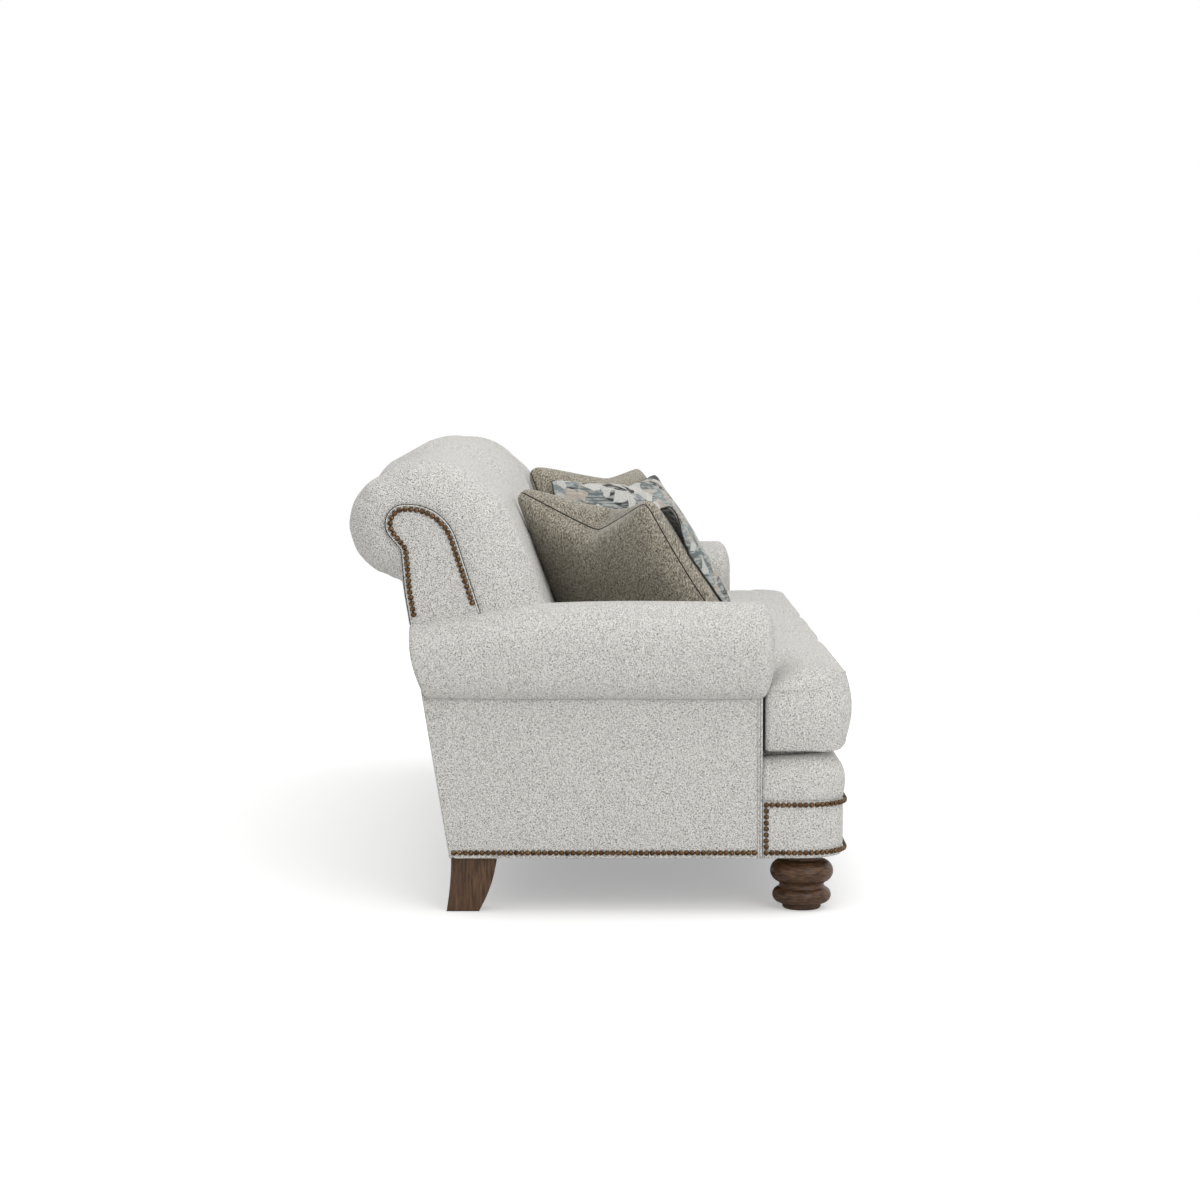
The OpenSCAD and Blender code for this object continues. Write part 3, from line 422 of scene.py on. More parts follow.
# %% [markdown]
# Cloth that is pulled round a curve gathers. Small pleats run in at the ends and puckers in the
# channels, both as waves along the inner line, and two slow noises keep the rest from looking
# turned on a lathe.

# %% Sections of the padding
PLEAT_WAVE, PUCKER_WAVE = 0.01904, 0.02096


def back_section(x):
    """Closed ring of the padding at x: round the outside, and back along the board."""
    share = (channel_share(x) * end_share(x, PAD_OUTER[:, 1]) * roll_share(x, PAD_OUTER))[:, None]
    line = PAD_INNER + (PAD_OUTER - PAD_INNER) * share
    thick = np.linalg.norm(line - PAD_INNER, axis=1)
    walked = np.r_[0, np.cumsum(np.linalg.norm(np.diff(PAD_INNER, axis=0), axis=1))]
    near_end = np.clip((abs(x) - (PAD_END - 0.085)) / 0.085, 0, 1)
    near_channel = math.exp(-((abs(x) - BAY) / 0.022) ** 2)
    pleat = 0.0120 * near_end * (1 - near_end) * np.sin(2 * math.pi * walked / PLEAT_WAVE + 30 * abs(x))
    pucker = 0.0016 * near_channel * np.sin(2 * math.pi * walked / PUCKER_WAVE)
    outwards = (line - PAD_INNER) / (thick[:, None] + 1e-9)
    spot = np.stack([np.full(len(line), x), line[:, 0], line[:, 1]], 1)
    swell = 0.0016 * noise_at(spot, 0.17, 5) + 0.0007 * noise_at(spot, 0.06, 9)
    keep = np.clip(thick / 0.03, 0, 1) * np.clip(np.arange(len(line)) / 3, 0, 1)
    line = line + outwards * ((pleat + pucker + swell) * keep)[:, None]
    ring = np.vstack([line, PAD_INNER[::-1]])
    return np.stack([np.full(len(ring), x), ring[:, 0], ring[:, 1]], 1)


def eased(a, b, n, power=2.2):
    """n places from a to b, closer together at both ends."""
    t = np.linspace(-1, 1, n)
    return a + (b - a) * (0.5 + 0.5 * np.sign(t) * (1 - (1 - np.abs(t)) ** power))


CHANNEL_GAP = 0.0002
SECTIONS = (("left", BAY + CHANNEL_GAP, PAD_END), ("middle", -BAY + CHANNEL_GAP, BAY - CHANNEL_GAP),
            ("right", -PAD_END, -BAY - CHANNEL_GAP))
for name, low, high in SECTIONS:
    pad = lofted(f"padding_back_{name}", [back_section(x) for x in eased(low, high, 72)])
    dress(pad, CLOTH, "cloth", "sofa", f"back_pad_{name}", fill=0.8)
    print(pad.name, len(pad.data.polygons), "faces")

# %% [markdown]
# The end of the back is a flat panel in the shape of the scroll. A flat panel with a rounded edge
# turns up on the arms and the deck too, so one helper draws them all: rings that run in over the
# edge and then over the face, which swells a little.

# %% Flat padded panels
PANEL_ROUND = 0.0025


def scroll_line(z0, z1, grow, steps=30):
    """Outline of the end of the back, up the rear, round the scroll and down the front."""
    rear = [[rear_y(z0) + grow, z0], [rear_y(UNDER_Z) + grow, UNDER_Z], [NECK[0] + grow, NECK[1]]]
    return np.vstack([rear, arc(SCROLL_Y, SCROLL_Z, SCROLL_R + grow, -45, 90, steps),
                      arc(BREAST_Y, BREAST_Z, BREAST_R + grow, 98, 163, steps),
                      [[breast_line(z1) - grow, z1]]])


def puffed_panel(name, outline, x0, x1, puff, side=1, rows=9):
    """A flat padded panel between x0 and x1: its face swells a little and its edge is rounded."""
    line = along(outline, 160, closed=True)
    inwards = line.mean(0) - line
    towards = inwards / (np.linalg.norm(inwards, axis=1)[:, None] + 1e-9)

    def ring(x, edge):
        return np.stack([np.full(len(edge), x), *edge.T], 1)

    rings = [ring(x0, line)]
    for t in np.linspace(0, 1, rows):
        inset = PANEL_ROUND * (1 - math.cos(t * math.pi / 2))
        rings.append(ring(x1 - PANEL_ROUND * (1 - math.sin(t * math.pi / 2)), line + towards * inset))
    for t in np.linspace(0.12, 0.96, 10):
        rings.append(ring(x1 + puff * math.sin(t * math.pi / 2), line + inwards * t))
    return lofted(name, rings, side)


print("edge of a panel rounded by", PANEL_ROUND * 1000, "mm")

# %% [markdown]
# The end panels are edged with a thin welt and, outside it, a dark tube of painted gap shadow.
# It lies at an uneven depth, so that it shows here and there as a fine line outside the nails.

# %% End panels of the back
WELT_LOW, WELT_HIGH = ARM_TOP - 0.045, ARM_TOP - 0.020
for name, side in SIDES:
    outline = scroll_line(BOARD_Z + 0.001, BOARD_Z + 0.001, -0.0005)
    panel = puffed_panel(f"end_panel_{name}", outline, SCROLL_X, END_X, 0.0012, side)
    dress(panel, CLOTH, "cloth", "sofa", f"back_end_{name}", fill=0.2)
    path = along(scroll_line(WELT_LOW, WELT_HIGH, 0.0004), 160)
    at_end = np.full(160, side * (END_X + 0.0002))
    edge = welt(f"welt_end_{name}", np.stack([at_end, *path.T], 1), 0.0019)
    dress(edge, CLOTH, "cloth", "sofa")
    path = along(scroll_line(WELT_LOW, WELT_HIGH, 0.0030), 160)
    sunk = 0.0004 + 0.0011 * noise_at(np.stack([path[:, 0] * 0, *path.T], 1), 0.05, 31)
    # painted shadow: a near-black tube in the gap outside the welt, where the padding is in shade
    gap_shadow_tube = welt(f"gap_shadow_end_{name}", np.stack([side * (END_X - sunk), *path.T], 1), 0.0009)
    dress(gap_shadow_tube, GAP_SHADOW, "dust_cloth", "sofa")
print("end panel", len(panel.data.polygons), "faces")

# %% [markdown]
# The rear has one large panel below the roll. Its face is a grid of points that stands furthest
# out in the middle, and each row is closed by the same row turned back along the frame.

# %% Rear panel of the back
def rear_depth(x, z):
    """Depth of the face of the rear panel at x and z."""
    across = 1 - abs(x / SCROLL_X) ** 6
    upward = 1 - abs(2 * (z - FOOT_H) / (UNDER_Z - FOOT_H) - 1) ** 6
    return rear_y(z) + 0.006 + 0.004 * across * upward + 0.0008 * noise_at([x, 0, z], 0.25, 3)


rear_xs = np.linspace(-SCROLL_X + 0.002, SCROLL_X - 0.002, 90)
rear_rings = []
for z in np.linspace(FOOT_H, UNDER_Z + 0.015, 60):
    row = np.array([[x, rear_depth(x, z), z] for x in rear_xs], float)
    turned_back = row[::-1] * [1, 0, 1] + [0, rear_y(z) + 0.001, 0]
    rear_rings.append(np.vstack([row, turned_back]))
rear_panel = lofted("rear_panel", rear_rings)
dress(rear_panel, CLOTH, "cloth", "sofa", "outside_back", fill=0.2)
welt_zs = np.linspace(FOOT_H + 0.002, UNDER_Z - 0.004, 60)
for name, side in SIDES:
    path = [[side * (SCROLL_X + 0.006), rear_y(z) + 0.003, z] for z in welt_zs]
    dress(welt(f"welt_rear_{name}", path, 0.0030), CLOTH, "cloth", "sofa")
print("rear panel", len(rear_panel.data.polygons), "faces")

# %% [markdown]
# Two small places need cloth so that no bare wood shows: the deck under the ears of the end
# cushions, which comes to light when they are lifted, and the strip at the rear between the rear
# panel and the outside of the arm. Thin boxes through a few rings are enough for both.

# %% Deck under the ears and strips at the rear
deck_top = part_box("deck_pad")[1].z - 0.001
EAR_Y0, EAR_Y1 = FRONT_Y + 0.060, FACING_Y + 0.002
ear_edge = [(EAR_Y0, deck_top - 0.012), (EAR_Y1, deck_top - 0.012), (EAR_Y1, deck_top), (EAR_Y0, deck_top)]
ear_xs = np.linspace(ARM_IN - 0.003, PANEL_X - 0.060, 12)
for name, side in SIDES:
    rings = [[[x, y, z] for y, z in ear_edge] for x in ear_xs]
    dress(lofted(f"ear_deck_{name}", rings, side), CLOTH, "cloth", "sofa")
STRIP_X0, STRIP_X1 = SCROLL_X - 0.004, PANEL_X - 0.0015
STRIP_SECTION = ((STRIP_X0, 0.001), (STRIP_X0, 0.0042), ((STRIP_X0 + STRIP_X1) / 2, 0.0050),
                 (STRIP_X1, 0.0042), (STRIP_X1, 0.001))
strip_zs = np.linspace(FOOT_H + 0.001, BOARD_Z - 0.001, 40)
for name, side in SIDES:
    rings = [[[x, rear_y(z) + out, z] for x, out in STRIP_SECTION] for z in strip_zs]
    dress(lofted(f"rear_strip_{name}", rings, side), CLOTH, "cloth", "sofa")
print("ear decks at", round(deck_top, 4), "strips", round(STRIP_X1 - STRIP_X0, 4), "wide")

# %% [markdown]
# The arm is a fat roll on a board. Its cross-section is nearly flat inside and underneath and
# round outside, and it is swept from the domed front, where the cloth is gathered, to the back,
# where it dips and follows the rake of the frame.

# %% Rolled arms
ROLL_OUT, ROLL_RISE, ROLL_SAG = 0.110, 0.0935, 0.111
ROLL_X, ROLL_Z = HALF_W - ROLL_OUT, BOARD_Z + 0.187 / 2
ROLL_SQUARE = 0.66


def roll_outline(n=72):
    """Ring of the roll in X and Z, from under the inside round the top to under the outside."""
    points = [[ARM_IN + 0.003, BOARD_Z + 0.0008], [PANEL_X - 0.002, BOARD_Z + 0.0008]]
    for a in np.radians(np.linspace(-62, 0, 16)):
        u, v = math.cos(a) ** ROLL_SQUARE, (-math.sin(a)) ** ROLL_SQUARE
        points.append([ROLL_X + ROLL_OUT * u, ROLL_Z - ROLL_SAG * v])
    for a in np.radians(np.linspace(4, 90, 22)):
        points.append([ROLL_X + ROLL_OUT * math.cos(a), ROLL_Z + ROLL_RISE * math.sin(a)])
    for a in np.radians(np.linspace(94, 180, 20)):
        points.append([ROLL_X + 0.130 * math.cos(a), ARM_TOP - 0.076 + 0.076 * math.sin(a)])
    return along(points, n, closed=True)


ROLL_LINE = roll_outline()
ROLL_Y0 = FACING_Y - 0.024
ROLL_Y1 = rear_y(BOARD_Z)


def rear_bulge(z):
    """Swell of the rear end of the roll at height z."""
    s = np.clip((z - BOARD_Z) / 0.175, 0, 1)
    return 0.0105 * np.sin(math.pi * s) - 0.006 * s * s - 0.001


def roll_ring(share, y, follow, pleat=0.0):
    """A station of the roll: share of the full outline, place, and how far it follows the rake."""
    middle = np.array([ROLL_X, ROLL_Z])
    spot = middle + (ROLL_LINE - middle) * share
    turn = np.arctan2(spot[:, 1] - ROLL_Z, spot[:, 0] - ROLL_X)
    drop = 0.17 * follow ** 2 * (spot[:, 1] - BOARD_Z)
    depth = y + follow * RAKE * (spot[:, 1] - BOARD_Z) + follow ** 6 * rear_bulge(spot[:, 1] - drop)
    depth = depth + pleat * np.sin(turn * 26)
    ring = np.stack([spot[:, 0], depth, spot[:, 1] - drop], 1)
    swell = 0.0014 * noise_at(ring, 0.16, 12) * min(1, share * 1.2)
    ring[:, 0] += swell * np.cos(turn) * 0.6
    ring[:, 2] += np.where(np.abs(ring[:, 2] - BOARD_Z) > 0.002, swell * np.sin(turn), 0)
    return ring


for name, side in SIDES:
    rings = []
    for a in np.radians(np.linspace(2, 90, 26)):
        share, rise = math.sin(a) ** 0.75, math.cos(a)
        pleat = 0.0016 * math.sin(min(1, share) * math.pi)
        rings.append(roll_ring(share, ROLL_Y0 + 0.033 * (1 - rise), 0, pleat))
    start, finish = ROLL_Y0 + 0.034, ROLL_Y1 - 0.018
    for t in np.linspace(0.01, 1, 60):
        rings.append(roll_ring(1, start + (finish - start) * t, 0.97 * t ** 3))
    for a in np.radians(np.linspace(8, 90, 10)):
        depth, follow = finish + 0.018 * math.sin(a), 0.97 + 0.03 * math.sin(a)
        rings.append(roll_ring(1 - 0.07 * (1 - math.cos(a)), depth, follow))
    roll = lofted(f"arm_roll_cover_{name}", rings, side)
    dress(roll, CLOTH, "cloth", "sofa", f"arm_roll_{name}", fill=0.75)
print("arm roll", len(roll.data.polygons), "faces")

# %% [markdown]
# Below the roll each arm has a padded face towards the seat, a flat outside panel and a narrow
# facing at the front. The outside panel is pulled tight over board, so it only swells a little,
# and thin welts close it to the facing and to the rear.

# %% Panels of the arms
facing_zs = np.linspace(FOOT_H + 0.001, BOARD_Z + 0.004, 50)
side_zs = np.linspace(FOOT_H + 0.001, BOARD_Z, 50)
for name, side in SIDES:
    outer = [[FACING_Y + 0.010, FOOT_H], [rear_y(FOOT_H), FOOT_H],
             [rear_y(BOARD_Z), BOARD_Z], [FACING_Y + 0.010, BOARD_Z]]
    panel = puffed_panel(f"outside_arm_cover_{name}", outer, PANEL_X - 0.0075, PANEL_X, 0.0028, side)
    dress(panel, CLOTH, "cloth", "sofa", f"outside_arm_{name}", fill=0.2)
    low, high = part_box(f"inside_arm_{name}")
    inner = [[low.y, low.z], [high.y, low.z], [high.y, high.z], [low.y, high.z]]
    x0, x1 = -(ARM_IN + 0.021), -(ARM_IN + 0.0005)
    thick = puffed_panel(f"inside_arm_cover_{name}", inner, x0, x1, 0.0, -side)
    dress(thick, CLOTH, "cloth", "sofa", f"inside_arm_{name}", fill=0.5)
    plan = [[ARM_IN, FACING_Y + 0.0085], [ARM_IN + 0.001, FACING_Y + 0.001],
            [PANEL_X - 0.003, FACING_Y + 0.0006], [PANEL_X + 0.0006, FACING_Y + 0.003],
            [PANEL_X + 0.0006, FACING_Y + 0.0085]]
    plan = along(plan, 70, closed=True)
    rings = [np.stack([*plan.T, np.full(70, z)], 1) for z in np.linspace(FOOT_H, BOARD_Z, 30)]
    facing = lofted(f"facing_cover_{name}", rings, side)
    dress(facing, CLOTH, "cloth", "sofa", f"arm_facing_{name}", fill=0.2)
    for part, y in (("front", FACING_Y + 0.0035), ("back", FACING_Y + 0.0088)):
        line = [[side * (PANEL_X + 0.0007), y, z] for z in facing_zs]
        dress(welt(f"welt_facing_{part}_{name}", line, 0.0024), CLOTH, "cloth", "sofa")
    line = [[side * (PANEL_X - 0.001), rear_y(z) + 0.0005, z] for z in side_zs]
    dress(welt(f"welt_side_{name}", line, 0.0030), CLOTH, "cloth", "sofa")
print("outside of the arm", len(panel.data.polygons), "faces, facing", len(facing.data.polygons))

# %% [markdown]
# Round the front runs a flat band trimmed with nails, and above it a padded edge that bulges
# forward and rolls in under the cushions. Both are one profile swept along the same line, which
# turns round corners in plan.

# %% A profile carried round the front
CORNER_R = 0.090


def front_line(inset, n=240):
    """Line round the front in plan, from the right arm to the left, set in by inset."""
    cx, cy, r = PANEL_X - CORNER_R, BAND_Y + CORNER_R, CORNER_R - inset
    a = np.radians(np.linspace(180, 270, 25))
    b = np.radians(np.linspace(270, 360, 25))
    first = np.stack([-cx + r * np.cos(a), cy + r * np.sin(a)], 1)
    second = np.stack([cx + r * np.cos(b), cy + r * np.sin(b)], 1)
    path = np.vstack([[[-PANEL_X + inset, FACING_Y]], first, second, [[PANEL_X - inset, FACING_Y]]])
    return along(path, n)


def swept_round(name, profile, n=240):
    """A closed profile of (inset, height) round the front, its top sinking a little by the arms."""
    lines = [np.column_stack([front_line(inset, n), np.full(n, z)]) for inset, z in profile]
    rings = np.array(lines).transpose(1, 0, 2)
    spread = noise_at(rings, 0.22, 21)[..., None] * 0.0009
    by_arm = 1 - np.clip((FACING_Y - rings[..., 1]) / 0.130, 0, 1)
    sunk = 0.009 * by_arm * ease((rings[..., 2] - BAND_Z - 0.030) / 0.060)
    return lofted(name, rings + spread * [0, -1, 0] - sunk[..., None] * [0, 0, 1])


print("front line", round(float(np.ptp(front_line(0)[:, 0])), 3), "wide")

# %% [markdown]
# The band is almost flat. The padded edge starts at the seam over the band, stands a few
# millimetres proud of it, and turns in to the deck in one round sweep.

# %% Front band and padded edge
BAND_RISE = 0.117
band_profile = [(0.012, FOOT_H), (0.003, FOOT_H), (0.0008, FOOT_H + 0.002)]
for t in np.linspace(0.05, 1, 16):
    band_profile.append((-0.0012 * math.sin(math.pi * t), FOOT_H + 0.002 + BAND_RISE * t))
band_profile += [(0.012, BAND_Z - 0.001)]
band = swept_round("front_band_cover", band_profile)
dress(band, CLOTH, "cloth", "sofa", "front_band", fill=0.2)
edge_profile = [(0.0125, BAND_Z), (0.004, BAND_Z), (0.001, BAND_Z + 0.001)]
EDGE_LOW, EDGE_HIGH, EDGE_IN = 0.034, 0.0585, 0.052
for a in np.radians(np.linspace(10, 90, 10)):
    edge_profile.append((0.0005 - 0.0045 * math.sin(a), BAND_Z + EDGE_LOW * (1 - math.cos(a))))
for a in np.radians(np.linspace(6, 90, 20)):
    inset = -0.004 + EDGE_IN * (1 - math.cos(a)) ** 0.95
    edge_profile.append((inset, BAND_Z + EDGE_LOW + EDGE_HIGH * math.sin(a)))
edge_profile += [(0.068, EDGE_Z - 0.0005), (0.068, EDGE_Z - 0.028), (0.0125, EDGE_Z - 0.030)]
edge = swept_round("padded_edge_cover", edge_profile)
dress(edge, CLOTH, "cloth", "sofa", "front_edge_pad", fill=0.8)
seam = np.column_stack([front_line(-0.0002), np.full(240, BAND_Z)])
dress(welt("welt_band", seam, 0.0013), CLOTH, "cloth", "sofa")
low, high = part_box("deck_pad")
deck_outline = [[low.y, low.z], [high.y, low.z], [high.y, high.z], [low.y, high.z]]
deck = puffed_panel("deck_cover", deck_outline, low.x, high.x, 0)
dress(deck, CLOTH, "cloth", "sofa", "deck_pad", fill=0.5)
print("band and edge", len(band.data.polygons) + len(edge.data.polygons), "faces")

# %% [markdown]
# The loose pieces are filled by cloth simulation: a cover a little smaller than the finished
# piece is remeshed finely, held along its seams and blown up from inside, so the panels swell
# between the seams as feathers and foam swell them. Each point may only move so far, and a
# cushion is kept inside the flat walls its neighbours make.

# %% Filling a cover
def filled(made, voxel, cap, pressure, pins, limits=None, frames=20):
    """Remeshes a closed cover, inflates it with cloth simulation and caps the movement."""
    for other in bpy.context.selected_objects:
        other.select_set(False)
    bpy.context.view_layer.objects.active = made
    made.select_set(True)
    made.data.remesh_voxel_size = voxel
    bpy.ops.object.voxel_remesh()
    count = len(made.data.vertices)
    before = np.zeros(count * 3, np.float32)
    made.data.vertices.foreach_get("co", before)
    before = before.reshape(-1, 3)
    group = made.vertex_groups.new(name="held")
    held = pins(before)
    for index in np.nonzero(held > 0.02)[0]:
        group.add([int(index)], float(min(1, held[index])), "REPLACE")
    cloth = made.modifiers.new("fill", "CLOTH")
    cloth.settings.quality = 4
    cloth.settings.mass = 0.25
    cloth.settings.tension_stiffness = 14
    cloth.settings.compression_stiffness = 14
    cloth.settings.bending_stiffness = 0.6
    cloth.settings.use_pressure = True
    cloth.settings.uniform_pressure_force = pressure
    cloth.settings.effector_weights.gravity = 0
    cloth.settings.vertex_group_mass = "held"
    cloth.point_cache.frame_start, cloth.point_cache.frame_end = 1, frames
    for step in range(1, frames + 1):
        bpy.context.scene.frame_set(step)
    shown = made.evaluated_get(bpy.context.evaluated_depsgraph_get())
    after = np.zeros(count * 3, np.float32)
    shown.data.vertices.foreach_get("co", after)
    after = after.reshape(-1, 3)
    made.modifiers.remove(cloth)
    bpy.context.scene.frame_set(1)
    move = after - before
    far = np.linalg.norm(move, axis=1)[:, None] + 1e-9
    after = before + move * np.minimum(1, cap / far)
    if limits is not None:
        after = limits(after)
    made.data.vertices.foreach_set("co", after.astype(np.float32).ravel())
    made.data.update()
    made.data.polygons.foreach_set("use_smooth", [True] * len(made.data.polygons))
    made.vertex_groups.clear()
    return made, float(far.max())


print("filling", "by cloth simulation")

# %% [markdown]
# Two helpers go with the filling. One tells how near each point lies to a seam, which gives the
# weights that hold it. The other lays a line back on the filled cover, so that a welt can be
# drawn where the seam has moved to.

# %% Seams on a filled cover
def nearest_share(points, path, reach):
    """1 on a path, falling to 0 at reach away from it."""
    length = np.linalg.norm(np.diff(path, axis=0), axis=1).sum()
    path = along(path, max(20, int(length / 0.008)))
    best = np.full(len(points), 9.0)
    for p in path:
        best = np.minimum(best, np.linalg.norm(points - p, axis=1))
    return np.clip(1 - best / reach, 0, 1)


def laid_on(made, path, lift=0.0):
    """The path moved onto the nearest place of a piece, raised by lift."""
    mesh = made.data
    tree = BVHTree.FromPolygons([v.co for v in mesh.vertices], [p.vertices for p in mesh.polygons])
    out = []
    for p in path:
        spot, normal, _, _ = tree.find_nearest(Vector(p))
        out.append(spot + normal * lift)
    return np.array([tuple(p) for p in out])


print("paths are laid onto a cover by", laid_on.__name__)

# %% [markdown]
# A seat cushion is boxed: a top and a bottom panel joined to a side strip by welted seams. The
# end cushions are T shaped, with an ear in front of the arm. The plan is a grid of lines that
# stand close together near the edges, where the form turns, and its corners are drawn in round.

# %% Plan of a seat cushion
CUSHION_T, CROWN, CROWN_EDGE = 0.156, 0.030, 0.013
CUSHION_Y0 = FRONT_Y + 0.003
EAR_X, EAR_Y = PANEL_X - 0.014, FACING_Y - 0.006
EAR_R, GAP_R, BACK_R, NOTCH_R = 0.078, 0.040, 0.022, 0.014
EDGE_STEPS = (0, 0.004, 0.009, 0.015, 0.023, 0.033, 0.046, 0.062, 0.082)


def spread_lines(a, b, both=True):
    """Places from a to b, close together near a, and near b too when both is set."""
    tail = [b - s for s in reversed(EDGE_STEPS)] if both else [b]
    start, stop = a + EDGE_STEPS[-1], tail[0]
    middle = np.linspace(start, stop, max(2, int((stop - start) / 0.018)) + 1)[1:-1]
    return np.array([*(a + s for s in EDGE_STEPS), *middle, *tail])


def rounded_corner(p, centre, sign, r):
    """Points of the square corner beyond centre drawn in to a quarter round."""
    u, v = ((p - centre) * sign / r).T
    short_u, short_v = np.sqrt(np.maximum(0, 1 - v * v / 2)), np.sqrt(np.maximum(0, 1 - u * u / 2))
    turned = centre + sign * r * np.stack([u * short_u, v * short_v], 1)
    return np.where(((u > 0) & (v > 0))[:, None], turned, p)


def inside_gap(x, y, x0, x1, x2):
    """Distance from a point of the plan to the edge of the cushion."""
    gap = np.minimum.reduce([x - x0, y - CUSHION_Y0, SEAT_BACK_Y - y, max(x1, x2) - x])
    if x2 > x1:
        corner = np.hypot(np.maximum(x1 - x, 0), np.maximum(EAR_Y - y, 0))
        notch = np.where(x > x1, EAR_Y - y, np.where(y < EAR_Y, corner, x1 - x))
        gap = np.minimum(gap, notch)
    return np.maximum(gap, 0)


print("lines across a cushion", len(spread_lines(-BAY, BAY)))

# %% [markdown]
# Heights over the plan make the form. The top seam runs lower down the side of the ear, the
# crown rises over a round edge and then slowly, and towards a gap between two cushions the top
# drops and the front draws back, which gives the notches along the front of the seat.

# %% Heights of a seat cushion
GAP_REACH, GAP_DROP, GAP_BACK = 0.120, 0.013, 0.010
EDGE_REACH, CROWN_REACH = 0.034, 0.200


def seam_height(x, y, x1, x2):
    """Height of the top seam: lower down the side of the ear and where it tucks under the roll."""
    if x2 <= x1:
        return SEAT_Z + CUSHION_T + 0 * x
    side = 0.028 * ease((x - x2 + 0.054) / 0.056)
    tucked = 0.032 * ease((x - x1 + 0.040) / 0.060) * ease((y - EAR_Y + 0.090) / 0.090)
    return SEAT_Z + CUSHION_T - np.maximum(side, tucked)


def towards_gap(x, x0, x1, x2):
    """1 at a gap between two cushions, falling to 0 a hand's width away from it."""
    reach = x - x0 if x2 > x1 else np.minimum(x - x0, x1 - x)
    return (1 - np.clip(reach / GAP_REACH, 0, 1)) ** 2


def crown_height(x, y, x0, x1, x2):
    """Rise of the top above its seam: a round edge, then a slow crown, flatter over the ear."""
    gap = inside_gap(x, y, x0, x1, x2)
    edge = 1 - np.clip(gap / EDGE_REACH, 0, 1)
    t = np.clip(gap / CROWN_REACH, 0, 1)
    ear = ease((x - x1 + 0.080) / 0.120) * ease((EAR_Y + 0.050 - y) / 0.080) if x2 > x1 else 0
    return CROWN_EDGE * np.sqrt(1 - edge ** 2) + (CROWN - CROWN_EDGE) * (1 - 0.60 * ear) * t * (2 - t)


print("top of the seat", round(SEAT_Z + CUSHION_T + CROWN, 3))

# %% [markdown]
# The grid of the plan is a rectangle of points. For a T shaped cushion the cells behind the ear
# are left out, and the walk once round the used cells is the line that both seams follow.

# %% Grid of the plan
def cushion_grid(x0, x1, x2):
    """Points of the plan in rows, which cells of it are used, and the walk round its edge."""
    eared = x2 > x1
    xs = spread_lines(x0, x1)
    ear_i = len(xs) - 1
    if eared:
        xs = np.r_[xs, spread_lines(x1, x2)[1:]]
        ys = np.r_[spread_lines(CUSHION_Y0, EAR_Y), spread_lines(EAR_Y, SEAT_BACK_Y)[1:]]
        ear_j = int(np.argmin(np.abs(ys - EAR_Y)))
    else:
        ys = spread_lines(CUSHION_Y0, SEAT_BACK_Y)
        ear_j = len(ys) - 1
    nx, ny = len(xs), len(ys)
    plan = np.stack(np.meshgrid(xs, ys), -1).reshape(-1, 2)
    corners = [((x0, CUSHION_Y0), (-1, -1), GAP_R), ((x0, SEAT_BACK_Y), (-1, 1), BACK_R),
               ((x1, SEAT_BACK_Y), (1, 1), BACK_R)]
    if eared:
        corners += [((x2, CUSHION_Y0), (1, -1), EAR_R), ((x2, EAR_Y), (1, 1), NOTCH_R)]
    else:
        corners += [((x1, CUSHION_Y0), (1, -1), GAP_R)]
    for spot, sign, r in corners:
        plan = rounded_corner(plan, np.array(spot) - r * np.array(sign), np.array(sign), r)
    cells = [(i, j) for j in range(ny - 1) for i in range(nx - 1) if i < ear_i or j < ear_j]
    walk = list(range(nx)) + [j * nx + nx - 1 for j in range(1, ear_j + 1)]
    walk += [ear_j * nx + i for i in range(nx - 2, ear_i - 1, -1)]
    walk += [j * nx + ear_i for j in range(ear_j + 1, ny)]
    walk += [(ny - 1) * nx + i for i in range(ear_i - 1, -1, -1)] + [j * nx for j in range(ny - 2, 0, -1)]
    return plan, nx, cells, walk


print("points of a middle plan", len(cushion_grid(-BAY, BAY, 0)[0]))

# %% [markdown]
# The cover is closed before it is filled: the plan at the height of the top, the plan at that of
# the bottom, and the walk carried up between the two, puffed out a little on the way. Points that
# no face uses are dropped at the end.

# %% Cover of a seat cushion
LOW_ROUND, SIDE_PUFF = 0.006, 0.013
TOE_IN, TOE_UP = 0.034, 0.012


